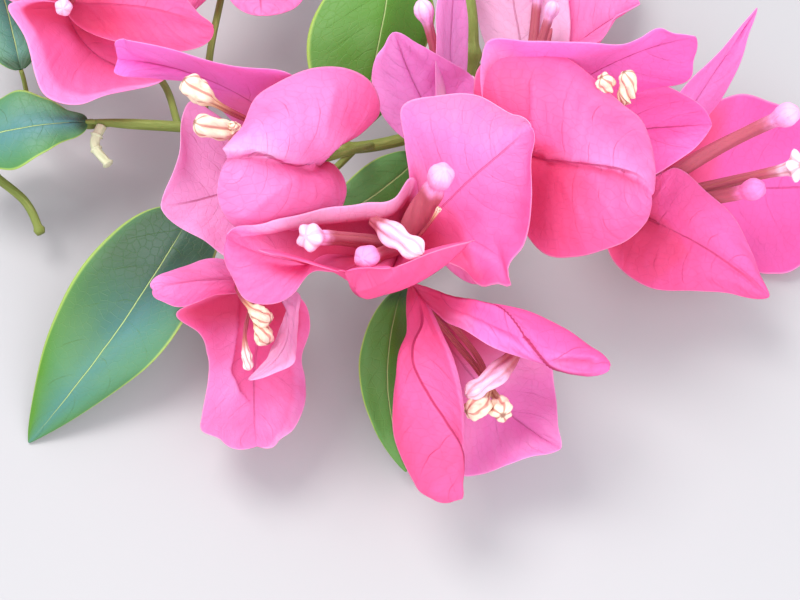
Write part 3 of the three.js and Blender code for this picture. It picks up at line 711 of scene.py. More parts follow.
# Each row is the share of the length, the radius, and the depth of the ribs as a share of the radius.
# The radii are multiples of the tube's below HEAD_START, and of the head's above it.
STAGES = {
    "bud": [
        (0, 0.5, 0), (0.06, 0.8, 0.04), (0.3, 0.95, 0.07), (0.55, 0.8, 0.07), (0.65, 0.85, 0.06),
        (0.72, 0.6, 0.05), (0.79, 0.9, 0.05), (0.87, 1.0, 0.05), (0.94, 0.88, 0.05), (0.985, 0.5, 0.1),
        (1, 0.12, 0.1),
    ],
    "star": [
        (0, 0.5, 0), (0.06, 0.8, 0.04), (0.3, 0.9, 0.08), (0.55, 0.8, 0.08), (0.65, 0.9, 0.06),
        (0.76, 0.6, 0.06), (0.84, 0.9, 0.07), (0.9, 1.12, 0.1), (0.95, 1.1, 0.15), (0.98, 0.75, 0.2),
        (1, 0.15, 0.3),
    ],
    "folded": [
        (0, 0.5, 0), (0.1, 0.8, 0.05), (0.4, 0.75, 0.1), (0.6, 0.9, 0.14), (0.65, 1.3, 0.16),
        (0.72, 0.95, 0.2), (0.8, 0.95, 0.2), (0.86, 0.7, 0.16), (0.91, 0.95, 0.1), (0.965, 0.9, 0.12),
        (1, 0.2, 0.2),
    ],
    "open": [
        (0, 0.5, 0), (0.06, 0.75, 0.04), (0.3, 0.85, 0.08), (0.55, 0.7, 0.08), (0.65, 0.75, 0.06),
        (0.78, 0.6, 0.05), (0.87, 0.8, 0.08), (0.93, 1.3, 0.2), (0.96, 1.35, 0.24), (0.98, 0.8, 0.16),
        (1, 0.3, 0.1),
    ],
    "withered": [
        (0, 0.4, 0), (0.08, 0.6, 0.1), (0.3, 0.5, 0.16), (0.55, 0.45, 0.2), (0.65, 0.6, 0.2),
        (0.72, 0.75, 0.2), (0.79, 1.0, 0.15), (0.86, 0.85, 0.13), (0.92, 1.0, 0.1), (0.97, 0.85, 0.1),
        (1, 0.12, 0.1),
    ],
}
TWIST = {"bud": 0.3, "star": 0.2, "folded": 0.9, "open": 0.2, "withered": 2.2}
CRUMPLE = {"bud": 0.01, "star": 0.02, "folded": 0.08, "open": 0.03, "withered": 0.12}
FLOWER_TONE = {"bud": 0.0, "star": 0.12, "folded": 0.28, "open": 0.5, "withered": 1.0}


def flower_path(ways, long, shares):
    """The sweeping curve of the ways, run so that the head, above HEAD_START, takes the last long mm."""
    fine = np.linspace(0, 1, 200)
    run = np.linalg.norm(np.diff(bend(ways, fine), axis=0), axis=1)
    run = np.concatenate([[0], np.cumsum(run)])
    along = np.interp(shares, [0, HEAD_START, 1], [0, run[-1] - long, run[-1]])
    return bend(ways, np.interp(along, run, fine))


def flower_part(stage, heart, ways, radius, stout=1.2, long=None, tone=None, seed=0):
    """A flower's tube: the stage's profile times one plus the ribs, a cosine of five turns that twists
    along the way, plus a crumple of two slanting sines. radius is the head's, and stout the tube's."""
    rng = np.random.default_rng(seed)
    shares = 1 - (1 - np.linspace(0, 1, RINGS)) ** 1.35
    knots = np.array(STAGES[stage])
    size = np.where(knots[:, 0] > HEAD_START, radius, stout) * knots[:, 1]
    profile = soften(np.interp(shares, knots[:, 0], size), 4)[:, None]
    depth = soften(np.interp(shares, knots[:, 0], knots[:, 2]), 4)[:, None]
    angle = (2 * np.pi * np.arange(SIDES) / SIDES)[None]
    s = shares[:, None]
    start = rng.uniform(0, 6, 2)
    ribs = depth * np.cos(RIBS * (angle + TWIST[stage] * s))
    crumple = np.sin(3 * angle + 14 * s + start[0]) + 0.6 * np.sin(7 * angle - 31 * s + start[1])
    path = flower_path([heart, *ways], long or HEAD_LONG * radius, shares)
    radius = profile * (1 + ribs + CRUMPLE[stage] * crumple)
    tone = FLOWER_TONE[stage] if tone is None else tone
    return tube(path, shares, radius, twist=TWIST[stage], tone=tone)


print("flower stages:", list(STAGES))

# %% [markdown]
# A fresh flower has a dull red tube and a head from deep pink to white pink, paler towards its end. A dry
# one has a tube like a brown thread and a cream head with brown grooves, its tube is painted a darker red
# as shade, and the end of its head is a dark spot, painted shade in its opening. One number, its age, runs
# through all of them, so one material serves every flower.

# %% Paint the flowers
TUBE_PINK = (0.48, 0.10, 0.15)
# painted shade for withered tubes, which lie in the dark hearts of their blooms
TUBE_SHADED = (0.45, 0.08, 0.12)
BUD_DEEP = (0.93, 0.22, 0.55)
BUD_PINK = (0.97, 0.45, 0.82)
WHITE_PINK = (0.97, 0.64, 0.78)
CREAM = (0.96, 0.76, 0.58)
GROOVE = (0.55, 0.16, 0.14)
THREAD = (0.70, 0.40, 0.22)
# painted shade in the opening at the end of a withered head
HOLE_SHADE = (0.25, 0.12, 0.08)


def flower_paint():
    """The head's colour runs from BUD_DEEP at age -1 over BUD_PINK and WHITE_PINK to CREAM at 1. The tube
    below it is a dull red, darker from age 0.5 on as painted shade, and the grooves between the ribs are
    darker. An older head ends in a dark spot, painted shade in its opening."""
    p = Paint("flower")
    s, turn, _ = p.map("blade")
    _, _, at = p.map("flat")
    age = p.tint()[0]
    dry = p.step(age, 0.5, 0.95)
    head = p.mix(age * -1, BUD_PINK, BUD_DEEP)
    head = p.mix(p.step(s, 0.75, 1.0) * (age + 1) * 0.6, head, WHITE_PINK)
    head = p.mix(p.step(age, 0.05, 0.45), head, WHITE_PINK)
    head = p.mix(dry, head, CREAM)
    # withered tubes turn a darker red: painted shade
    stalk = p.mix(dry, TUBE_PINK, TUBE_SHADED)
    stalk = p.mix(dry * p.step(s, 0.52, HEAD_START), stalk, THREAD)
    colour = p.mix(p.step(s + (p.noise(at, 40.0) - 0.5) * 0.08, 0.60, 0.76), stalk, head)
    groove = p.step(p.math("COSINE", turn * (2 * math.pi * RIBS)) * -1, 0.45, 1.0)
    streak = p.streaks(at, 6.0, 40.0)
    colour = p.mix(groove * (age * 0.6 + 0.2), colour, GROOVE)
    colour = p.mix(p.step(streak, 0.5, 0.8) * 0.4, colour, GROOVE)
    # the dark spot at the end of an older head, most on a withered one: painted shade in its opening
    colour = p.mix(p.step(s, 0.99, 0.999) * 0.7 * age, colour, HOLE_SHADE)
    height = p.noise(at, 90.0) * 0.6 + streak - groove * 0.5
    return p.finish(colour, 0.6 + (streak - 0.5) * 0.3, height, 0.0001, plain=SOFT)


FLOWER = flower_paint()
print("flower material:", FLOWER.name)

# %% [markdown]
# ## Leaves
#
# A leaf is the same blade as a bract, but thicker, glossy and gently folded along its midrib, so it
# shares the bract's veins. Its paint is a mid green with pale sunken veins, a yellow green margin, and a
# paler underside. A bluish cast, most in the middle of a leaf, is a painted reflection of the pale sky,
# and the green darkens towards the base as painted shade.

# %% Paint the leaves
LEAF_GREEN = (0.08, 0.23, 0.02)
LEAF_YELLOW = (0.17, 0.32, 0.04)
# painted reflection of the pale sky on the glossy leaves
LEAF_SKY_SHEEN = (0.07, 0.21, 0.20)
# painted shade on the leaves
LEAF_SHADE = (0.02, 0.06, 0.02)
LEAF_RIB = (0.45, 0.60, 0.22)
LEAF_EDGE = (0.45, 0.60, 0.12)
LEAF_UNDER = (0.40, 0.55, 0.30)
LEAF_STEP = 60.0  # mm, the length of a leaf, for the width of its side veins


def leaf_paint(name, top):
    """Green that leans to a painted bluish reflection of the sky by the part's tone, to yellow in slow
    clouds and at the margin, and to painted shade towards the base.
    """
    p = Paint(name)
    s, across, _ = p.map("blade")
    _, y, at = p.map("flat")
    t = across * 2 - 1
    rib, side_veins, net, flutes = veins_of(p, s, t, y * FLAT, at, LEAF_STEP / VEINS, 0.2)
    cloud = p.noise(at, 2.5, 4.0)
    tone, deep, _ = p.tint()
    # painted reflection: the bluish cast of the sky, by the part's tone
    green = p.mix(tone + (cloud - 0.5) * 0.8, LEAF_GREEN, LEAF_SKY_SHEEN)
    green = p.mix(p.step(cloud, 0.45, 0.75) * 0.35, green, LEAF_YELLOW)
    # painted shade towards the base, most on the big leaf under a bloom
    green = p.mix(deep * 0.85, green, LEAF_SHADE)
    green = p.mix(net * 0.08 + side_veins * 0.3, green, LEAF_YELLOW)
    green = p.mix(rib * 0.8, green, LEAF_RIB)
    green = p.mix(p.step(abs(t), 0.93, 0.985) * 0.7, green, LEAF_EDGE)
    if not top:
        green = p.mix(0.35, green, LEAF_UNDER)
    height = flutes * 0.5 - net * 0.15 - side_veins * 0.4 - rib * 0.9
    return p.finish(green, 0.4 + cloud * 0.15, height, 0.0002, plain={"Specular IOR Level": 0.35})


LEAF = (leaf_paint("leaf_top", True), leaf_paint("leaf_under", False))
print("leaf materials:", [m.name for m in LEAF])

# %% [markdown]
# ## Stems
#
# The stem and its shoot are green, with a slight swelling where each stalk or leaf leaves them. The
# stalks are thinner. Of the two spent ones, one has dried pale and the other is still green.

# %% Paint the stems
STEM_GREEN = (0.19, 0.23, 0.05)
STEM_LIGHT = (0.45, 0.50, 0.16)
STEM_BROWN = (0.30, 0.15, 0.06)
STEM_PALE = (0.62, 0.62, 0.42)
LIMB_SIDES = 18
KNOT_HIGH, KNOT_WIDE = 0.35, 0.018  # a swelling, as shares of the radius and of the length
TAPERED = 0.1  # share of the length over which a limb tapers


def stem_paint():
    """Green with long streaks, browner by the part's tone, in patches and towards a dry end, and pale
    where the tone is below 0."""
    p = Paint("stem")
    s, _, _ = p.map("blade")
    _, _, at = p.map("flat")
    tone = p.tint()[0]
    streak = p.streaks(at, 7.0, 12.0)
    brown = p.step(tone * (0.6 + 0.9 * s) + (streak - 0.5) * 0.8, 0.3, 0.9)
    colour = p.mix(brown, STEM_GREEN, STEM_BROWN)
    colour = p.mix(p.step(streak, 0.5, 0.8) * 0.4, colour, STEM_LIGHT)
    colour = p.mix(p.step(tone * -1 + (streak - 0.5), 0.2, 0.9), colour, STEM_PALE)
    return p.finish(colour, 0.55, streak + p.noise(at, 70.0) * 0.5, plain=SOFT)


def limb_part(places, start, end, swellings=(), slot=0, count=120, tone=0.1, taper=0):
    """A round limb whose radius falls evenly from start to end, with a bell-shaped swelling at each of
    the shares given. taper is the share of the radius that goes towards the end, as a parabola."""
    shares = np.linspace(0, 1, count)
    radius = start + (end - start) * shares
    for at in swellings:
        radius = radius + KNOT_HIGH * start * np.exp(-(((shares - at) / KNOT_WIDE) ** 2))
    radius = radius * (1 - taper * np.clip(1 - (1 - shares) / TAPERED, 0, 1) ** 2)
    angle = 2 * np.pi * np.arange(LIMB_SIDES) / LIMB_SIDES
    uneven = 1 + 0.03 * np.sin(3 * angle[None] + 9 * shares[:, None])
    return tube(through(places, shares), shares, radius[:, None] * uneven, slot=slot, tone=tone)


STEM_PAINT = stem_paint()
print("stem material:", STEM_PAINT.name)

# %% [markdown]
# ## The ten blooms
#
# Each bract is written down as it is read: its tip, the middle of its midrib, and places along its
# left and right margins, each with its share of the length in front. A flower is a bent path from the
# heart to the end of its head. A call of bloom names a bloom and its heart, and the calls after it add
# its three bracts and its flowers. First comes the bloom in the middle, which opens towards the eye: one
# bract stands up behind it, one lies to the left with its far margin rolled over, and one is folded like
# a boat in front.

# %% The centre bloom
BLOOMS = {}


def bloom(name, heart):
    """Starts a bloom round this heart."""
    BLOOMS[name] = dict(heart=heart, bracts=[], flowers=[])


def bract(**spec):
    """Adds a bract to the newest bloom."""
    list(BLOOMS.values())[-1]["bracts"].append(spec)


def flower(stage, *ways, **spec):
    """Adds a flower to the newest bloom, at this stage and by these places from the heart to its end."""
    list(BLOOMS.values())[-1]["flowers"].append(dict(stage=stage, ways=ways, **spec))


# Each bract's tone, rim and blush paint light and shade along with its colour: paler where it was lit,
# redder where it lay in shade.
bloom("centre", (0.4, 10.1, -12))
bract(
    tip=(24.6, 32.4, 6), mid=(12.8, 22.1, -7), belly=(-2, -2), ends=(0.5, 0.5), tone=(0.4, 0.6, -0.7, 0),
    cool=0.15, blush=(0.3, 0.35), veins=0.25,
    left=[(0.15, 1.5, 20.1, -9), (0.3, 0.9, 29.1, -6), (0.45, 0.2, 36, -2), (0.62, 6.6, 38, 1),
          (0.78, 14.6, 38, 4), (0.92, 21.6, 34.6, 5)],
    right=[(0.15, 5.6, 7.5, -10), (0.28, 12, 5.6, -8), (0.35, 14.4, 3, -6), (0.385, 15.8, 2.4, -6),
           (0.42, 18.2, 3, -5), (0.455, 20.8, 2.6, -4), (0.48, 20.3, 4.9, -4), (0.58, 22.9, 10.3, -2),
           (0.75, 24.4, 18.8, 2), (0.92, 24.8, 28.1, 5)],
    folds=[
        ([(8.6, 16.5), (13.1, 13.5), (18.8, 12.8)], (0.2, 0.8, 0.8)),
        ([(9.4, 10.5), (15, 9.4), (18.8, 6), (20.2, 3)], (0.4, 1.6, 1.6)),
        ([(9.8, 8.2), (13.1, 6.6), (15.8, 3.4)], (-0.3, 1.2, 1.2)),
    ],
)
bract(
    tip=(-32.6, 11.6, 7), mid=(-16.5, 7.1, -5), belly=(-2, 2), ends=(0.5, 0.4), curl=(1.2, 0.3),
    tone=(0.1, 0, -0.3, 0.3), rim=(0.3, 0), blush=(0.95, 0.4), veins=0.2,
    left=[(0.1, 3, 21.9, -7), (0.2, -0.4, 18.9, -6), (0.35, -6.6, 17.6, -5), (0.55, -14.3, 16.7, -3),
          (0.75, -21.6, 15.2, 1), (0.9, -28.1, 13.8, 4)],
    right=[(0.2, -10.3, 5.6, 0), (0.38, -16.5, 5.2, 3), (0.52, -20.6, 0.8, 5), (0.65, -24.4, -0.8, 6),
           (0.8, -29.4, 0.4, 7), (0.93, -32, 5.2, 7)],
    folds=[
        ([(-30.9, 11.6), (-21.6, 13.7), (-17.8, 14.1), (-9.4, 15), (-3.8, 15.8), (0, 17.6), (2.2, 20.2),
          (3.8, 23.4)], (1.1, 3.5, 0.2), (-1.0, 0.05, 1.6)),
    ],
)
bract(
    tip=(-10.3, 5.1, 14), mid=(-5.2, 0.9, 4), belly=(1.4, 2.2), keel=-0.4, tone=(-0.35, -0.2, 0.2, 0),
    blush=(0.2, 0.2),
    left=[(0.15, -3.8, 7.1, -9), (0.3, -13.1, 5.6, -4), (0.45, -25.9, 9.4, 5), (0.7, -16.9, 6.9, 9),
          (0.9, -11.6, 5.4, 13)],
    right=[(0.15, 4.7, 7.1, -9), (0.3, 10.3, 9.4, -4), (0.45, 14.1, 11.1, 3), (0.7, 5.6, 9, 9),
           (0.9, -3.8, 6, 13)],
)
flower("bud", (2, 14, -8), (5.6, 19, -6), (8.4, 24.6, 4), radius=2.5, stout=2.7, tone=-0.4)
flower("star", (-9, 11.5, -3), (-13, 11.8, 1), (-17.8, 11.8, 8), radius=2.3, stout=1.6)
flower("bud", (-3, 8.8, 2), (-7.1, 7.8, 13), radius=2.3, stout=1.5, tone=-0.8)
flower("folded", (-9, 18, -6), (-4.5, 14.5, 8), (4.2, 8.4, 9), radius=2.2, stout=1.3, long=10)
flower("withered", (4.4, 11.5, -6), (7.4, 17.4, -2), radius=0.5, stout=0.6)
print("blooms so far:", list(BLOOMS))

# %% [markdown]
# The left bloom and the right one each turn a broad bract to the eye that is folded across, so that its
# upper half overhangs the lower, with a dark crease between. Their withered flowers look out beside it.

# %% The left and right blooms
bloom("left", (-14.6, 26.3, -16))
bract(
    tip=(-32.6, 26.8, 10), mid=(-22.5, 26.1, 3), belly=(1.8, 1.2), keel=0, tone=(0.6, 0.4, 0.1, -0.2),
    blush=(0.15, 0.3),
    left=[(0.06, -10.3, 29.6, -17), (0.13, -5.6, 33.2, -16), (0.22, -3.9, 36.6, -14),
          (0.3, -4.9, 40.1, -12), (0.42, -9.4, 43.3, -8), (0.55, -15.9, 43.3, -5), (0.7, -23.4, 40.3, -2),
          (0.82, -27.8, 36.9, 1), (0.92, -30, 31.5, 5)],
    right=[(0.08, -12.2, 25.7, -16), (0.18, -10.5, 22.9, -15), (0.3, -10.5, 18.8, -13),
           (0.42, -14, 14, -9), (0.55, -21.6, 12, -4), (0.7, -29, 12.6, 0), (0.82, -33, 15.9, 3),
           (0.92, -34.3, 20.6, 6)],
    sway=[(0, 0.05), (0.25, 0.09), (0.5, 0), (0.75, -0.075), (1, -0.08)],
    folds=[
        ([(-38, 26.6), (-33, 27), (-28, 27.6), (-24, 26.6), (-19, 26), (-16, 25.4), (-14.6, 27),
          (-13, 28.6), (-8, 31)], (1.5, 3.0, 0.25), (-1.3, 0.05, 2.2)),
        ([(-15.4, 27), (-14.2, 33.8), (-11.6, 42)], (0.6, 2.4, 1.0)),
        ([(-17.8, 24.4), (-25.3, 19.3), (-31.5, 14.2)], (0.6, 1.2, 2.2)),
        ([(-16.5, 24.8), (-13.1, 20.6), (-11.6, 15.9)], (0.3, 0.8, 0.8)),
        ([(-18.8, 23.2), (-20.2, 18.8), (-22.5, 16.1)], (0.25, 0.7, 0.7)),
    ],
)
bract(
    tip=(-53, 45.2, -4), mid=(-32.8, 39.8, -14), ends=(0.5, 0.12), tone=(0.35, 0.3, 0, 0.2), cool=0.6,
    blush=(0.4, 0.5),
    left=[(0.2, -17, 38.5, -8), (0.35, -20.6, 42, -4), (0.6, -33.4, 44.3, 0), (0.75, -41.3, 46.5, 1),
          (0.9, -51.2, 48.6, 1), (0.965, -52.3, 48.9, 0)],
    right=[(0.25, -27, 30, -26), (0.42, -33.8, 36, -21), (0.55, -37.9, 39.8, -16),
           (0.7, -44.1, 41.1, -11), (0.88, -50.6, 41.8, -5), (0.96, -52.3, 42, -4)],
)
bract(
    tip=(-44.8, 17.5, -2), mid=(-30, 20.8, -14), belly=(-1.5, -1.5), ends=(0.5, 0.75),
    tone=(1.7, 0.9, -0.3, 0.2), cool=0.3, blush=(0.5, 0.4),
    left=[(0.3, -29, 30.9, -15), (0.5, -34.7, 35, -12), (0.62, -39.4, 37.3, -9), (0.72, -41, 33.8, -7),
          (0.83, -41.3, 27.2, -4), (0.93, -43.5, 21.6, -2)],
    right=[(0.4, -25.9, 7.1, -9), (0.6, -33.4, 8.6, -6), (0.75, -37.5, 11.6, -4), (0.9, -42.2, 14.3, -3)],
)
flower("withered", (-22, 32, -14), (-32, 33.5, -4), (-40.5, 41.4, 2), radius=2.3, long=7)
flower("withered", (-22, 29, -12), (-29, 30.5, 0), (-38.6, 33.4, 6), radius=2.1, long=9)
flower("withered", (-25, 26, -12), (-33.6, 26.5, -2), (-30.8, 33.2, 3), radius=1.1, long=3)

bloom("right", (19.7, 28.1, -14))
bract(
    tip=(47.3, 19.7, 2), mid=(34.7, 26.6, 2), belly=(1.8, 1.5), keel=0, tone=(-0.05, 0.35, -0.1, 0),
    blush=(0.2, 0.75),
    left=[(0.12, 14, 38.4, -13), (0.22, 15, 43.5, -12), (0.35, 21.6, 46.7, -11), (0.5, 30, 45.9, -9),
          (0.65, 36.6, 41.6, -7), (0.78, 42.2, 36.2, -4), (0.88, 45.9, 32.2, -2), (0.95, 47.4, 26.3, 0)],
    right=[(0.15, 19.7, 19.7, -13), (0.3, 23.4, 13.1, -12), (0.45, 27.8, 8.6, -10), (0.6, 32.8, 8.1, -7),
           (0.75, 38.4, 9.4, -4), (0.87, 43.5, 12, -2), (0.95, 46.5, 15.4, 0)],
    sway=[(0, 0.1), (0.25, 0.11), (0.5, 0.05), (0.75, -0.03), (0.9, -0.1), (1, -0.1)],
    folds=[
        ([(20, 30), (24.4, 27.8), (28.1, 26.4), (32.8, 25.9), (37.5, 25.1), (42.2, 23.8), (45, 22.3),
          (48, 18.9)], (1.0, 3.5, 0.3), (-1.3, 0.05, 2.5)),
        ([(24.6, 27), (24.4, 33.8), (24.9, 42)], (0.5, 0.3, 2.2), (-0.4, 2.2, 0.1)),
        ([(27.2, 25.3), (30.4, 22.5), (32.4, 18.8), (34.1, 15.4), (36.4, 14.2)], (0.35, 0.8, 0.8)),
        ([(35.6, 24.8), (37.5, 19.7), (40.1, 15.6)], (0.35, 0.8, 0.8)),
    ],
)
bract(
    tip=(55.5, 49.3, -6), mid=(35.6, 42.2, -16), tone=(0.3, 0.3, -0.5, 0), cool=0.5, blush=(0.3, 0.6),
    left=[(0.2, 15.9, 47.6, -9), (0.35, 24.4, 48.6, -6), (0.5, 32.8, 48.2, -4), (0.65, 40.3, 47.6, -4),
          (0.8, 45, 49.1, -4), (0.9, 49.1, 51, -4), (0.96, 52.1, 49.9, -5)],
    right=[(0.4, 37.5, 33.8, -26), (0.7, 46.9, 39.4, -20), (0.88, 54.8, 42.2, -14),
           (0.96, 55.4, 46, -10)],
)
bract(
    tip=(58.5, 32.8, -14), mid=(40, 31.5, -24), ends=(0.5, 0.95), lobe=0.06, tone=(-0.2, 0.4, 0.3, 0),
    cool=0.35,
    left=[(0.3, 32.8, 45, -24), (0.8, 56.1, 36.8, -17)],
    right=[(0.3, 35.6, 18.8, -22), (0.8, 54.8, 28.1, -16)],
)
flower("withered", (30, 34, -16), (42, 38, -8), (37.7, 41.8, -4), radius=1.7, long=4.5)
flower("withered", (32, 30, -18), (46.5, 36, -8), (42, 42.8, -3), radius=1.7, long=8)
flower("withered", (32, 31, -18), (42, 32, -12), radius=1.6)
print("blooms so far:", list(BLOOMS))

# %% [markdown]
# Two blooms hang below. One of them shows its inside, with the withered tubes in the dark of it, between
# a long bract on the left whose midrib swings from one margin to the other, a folded one on the right
# and a broad one behind. The other has a bract like a trumpet.

# %% The low blooms
bloom("low", (1.9, 3, -14))
bract(
    tip=(10.9, -37.5, -4), mid=(4.9, -17.3, 3), belly=(1.5, 1.5), ends=(0.6, 0.3), keel=-0.4,
    tone=(-0.2, 0.1, 0.1, 0), rim=(0, 0.8), blush=(0.12, 0.1), veins=1,
    left=[(0.12, 1.5, -1.5, -11), (0.22, 2.1, -5.6, -7), (0.3, 0, -9, -5), (0.42, -0.9, -14.6, -4),
          (0.55, -1.1, -19.7, -3), (0.7, -0.8, -25.7, -3), (0.8, 0.8, -30, -3), (0.87, 2.6, -33.8, -3),
          (0.92, 3.9, -36, -4), (0.965, 6.4, -37.5, -4)],
    right=[(0.12, 5.6, -1.5, -10), (0.22, 7.5, -5.2, -6), (0.32, 9.2, -9, -3), (0.45, 11, -15.9, -1),
           (0.6, 11.7, -21, -1), (0.75, 12, -27.2, -2), (0.88, 11.5, -32.2, -3), (0.95, 11.4, -35.4, -4)],
    sway=[(0, 0.3), (0.12, 0.35), (0.2, 0.3), (0.28, -0.1), (0.36, -0.17), (0.45, -0.05), (0.54, 0.06),
          (0.62, 0.22), (0.7, 0.4), (0.78, 0.65), (0.87, 0.85), (1, 0.95)],
)
bract(
    tip=(39.3, -12.6, -4), mid=(20.4, -6.2, 2), belly=(1, 1.5), ends=(0.7, 0.55), keel=-0.8,
    tone=(0.2, -0.1, 0.4, 0), cool=0.25, blush=(0.3, 0.35), veins=1,
    left=[(0.07, 4.2, 2.2, -13), (0.15, 7.8, 0.2, -11), (0.3, 14.1, -0.5, -6), (0.45, 19.3, -1.1, -5),
          (0.6, 25, -2.9, -5), (0.75, 31.3, -5.6, -5), (0.88, 36.6, -9.4, -5)],
    right=[(0.15, 7.5, -3, -7), (0.3, 12.2, -5.6, 0), (0.45, 17.8, -8.8, 3), (0.6, 24.4, -11.2, 2),
           (0.75, 30, -12.9, 0), (0.88, 35.6, -13.7, -2)],
    sway=[(0, 0), (0.15, -0.4), (0.3, -0.62), (0.44, -0.62), (0.55, -0.14), (0.64, 0.32), (0.72, 0.8),
          (0.8, 0.93), (1, 0.93)],
    folds=[
        ([(27.8, -11.1), (31.9, -10.7), (36, -10.9), (37.9, -12.4)], (0.6, 1.5, 0.2), (-0.6, 0.05, 1.5)),
        ([(7.5, -3), (11.6, -3.4), (15.9, -2.1)], (0.3, 1.2, 1.2)),
    ],
)
bract(
    tip=(30.1, -27.9, -10), mid=(15, -15.9, -26), ends=(0.7, 0.8), tone=(0.95, 0.4, 0, 0), cool=0.3,
    blush=(0.6, 0.6), veins=0.2,
    left=[(0.12, 8.5, -3, -21), (0.25, 17.5, -4, -25), (0.5, 27.9, -10.3, -22), (0.65, 28.7, -15.9, -18),
          (0.8, 29.4, -21, -14), (0.92, 30, -25.3, -11)],
    right=[(0.3, 5.6, -18.8, -20), (0.5, 10.3, -31.9, -16), (0.65, 15, -32.6, -14),
           (0.8, 20.6, -30.8, -12), (0.92, 26.3, -29.1, -11)],
)
flower("folded", (14, -8, -26), (33, -4, -14), (12.4, -18, -6), radius=2, stout=1.4, long=9.5)
flower("withered", (12, -6, -28), (22.5, -17.5, -12), (12.4, -21, -6), radius=2.1, long=6)
flower("withered", (8, -6, -28), (17, -14, -20), (19.3, -21.6, -8), radius=2.2, long=4.8)

bloom("low_left", (-24.8, 3, -26))
bract(
    tip=(-46.4, 2, -12), mid=(-34.7, 3.8, -18), ends=(0.5, 0.45), tone=(0.5, 0.2, -0.3, 0),
    blush=(0.1, 0.2), veins=0.2,
    left=[(0.4, -34, 7.7, -23), (0.6, -39.4, 6.6, -20), (0.8, -43.9, 5.2, -15)],
    right=[(0.4, -34, 1, -17), (0.6, -38.2, -0.6, -14), (0.8, -42.2, -1.3, -12), (0.93, -45.2, 0, -12)],
)
bract(
    tip=(-26.8, -27.4, -14), mid=(-27.2, -12.8, -32), ends=(0.6, 0.35), wave=(0.1, 0.1),
    tone=(0.1, 0.8, -0.1, 0.1), rim=(0, 0.5), blush=(0.3, 0.4), veins=0.1,
    left=[(0.12, -40.7, -1.5, -24), (0.25, -37.9, -6, -25), (0.4, -36.2, -10.3, -25),
          (0.55, -36, -15, -23), (0.7, -37.1, -21.6, -18), (0.8, -37.1, -24.4, -15),
          (0.9, -33.4, -26.3, -13)],
    right=[(0.12, -18.4, 0, -27), (0.25, -16.9, -4.7, -28), (0.4, -18.4, -10.3, -27),
           (0.55, -17.8, -15, -24), (0.7, -18, -19.5, -19), (0.83, -20.2, -24.4, -15),
           (0.93, -22.9, -26.6, -14)],
    folds=[
        ([(-30, 1.5), (-30.4, -4.7), (-31.3, -9.4), (-32.1, -13.5), (-30.4, -17.2), (-27.8, -19.5)],
          (0.8, 0.2, 3.0), (-0.9, 2.4, 0.05)),
    ],
)
bract(
    tip=(-28.3, -15, -3), mid=(-20.8, -6.4, -12), tone=(1.4, 0, 0, 0), blush=(0, 0), veins=0.1,
    left=[(0.15, -20.6, 0, -22), (0.35, -21.9, -3.8, -20), (0.6, -23.9, -8.8, -16),
          (0.85, -26.6, -12.7, -8)],
    right=[(0.15, -19.3, 1.5, -20), (0.35, -19.3, -2.8, -14), (0.6, -19.5, -9.4, -6),
           (0.75, -20.1, -12, -3), (0.88, -23.9, -13.7, -2)],
)
flower("withered", (-33.4, 5.6, -22), (-31, 0, -14), (-24.3, -4.2, -12), radius=1.9, long=5)
flower("withered", (-30, 1.9, -22), (-28, -2.8, -14), (-24.6, -8.2, -12), radius=1.8, long=4.5)
flower("withered", (-30, -2, -22), (-29.5, -8.4, -16), (-28.2, -13.2, -16), radius=1, stout=0.8, long=5,
       tone=0.7)
print("blooms so far:", list(BLOOMS))

# %% [markdown]
# The far right bloom shows three flowers side by side, one of them open, on long dark tubes. Behind the
# middle of the spray stands a bloom of which only two bracts reach into view.

# %% The far right bloom and the one behind
bloom("far_right", (42.8, 16.5, -38))
bract(
    tip=(67, 54.8, -30), mid=(54.4, 35.6, -40), ends=(0.5, 0.7), tone=(0.6, 0.5, 0, 0), cool=0.3,
    veins=0.2,
    left=[(0.35, 47.8, 31.9, -36), (0.55, 53.4, 40.3, -33), (0.7, 57.8, 44.4, -31),
          (0.82, 61.9, 48.4, -30), (0.92, 64.7, 52.1, -30)],
    right=[(0.2, 48.8, 23.4, -44), (0.4, 54.4, 30, -45), (0.55, 59, 35.6, -44), (0.7, 62.3, 41.3, -40),
           (0.82, 64.5, 46.5, -36), (0.92, 65.8, 51, -32)],
)
bract(
    tip=(82.9, 20.6, -46), mid=(63.8, 20.6, -50), belly=(-2, -2), tone=(-0.6, 0, 0, 0), cool=0.4,
    blush=(0.4, 0.3), veins=0.3,
    left=[(0.4, 62.8, 38.5, -50), (0.6, 69.4, 37.1, -48), (0.8, 76, 33.8, -46)],
    right=[(0.4, 62.8, 6, -46.7), (0.6, 69.4, 4.9, -45), (0.8, 75.4, 6.8, -44)],
)
bract(
    tip=(69.2, 0.6, -26), mid=(56.3, 10.1, -26), belly=(1.2, 1.2), keel=-0.9, tone=(-0.3, 0, -0.3, 0),
    cool=0.15, blush=(0.2, 0.5),
    left=[(0.15, 47.8, 22.9, -32), (0.3, 51.6, 24.8, -31), (0.5, 57.2, 20.6, -30),
          (0.68, 62.8, 14.6, -29), (0.82, 66, 8.4, -28), (0.93, 68, 3.8, -27)],
    right=[(0.15, 38.4, 11.3, -33), (0.3, 40.3, 6.9, -32), (0.5, 46.9, 2.4, -29), (0.7, 55.3, 1.9, -27),
           (0.85, 62.8, 1.1, -26)],
)
flower("bud", (54, 27, -38), (66, 32, -32), (74.6, 35.6, -24), radius=2.5, stout=1.7, long=6.4, tone=-0.4)
flower("open", (56, 21.5, -38), (68, 23.5, -32), (75.4, 25.2, -22), radius=2.3, stout=1.5)
flower("bud", (54, 19, -38), (62, 19, -30), (68.2, 21.4, -24), radius=2.3, stout=1.7, tone=-1.3)

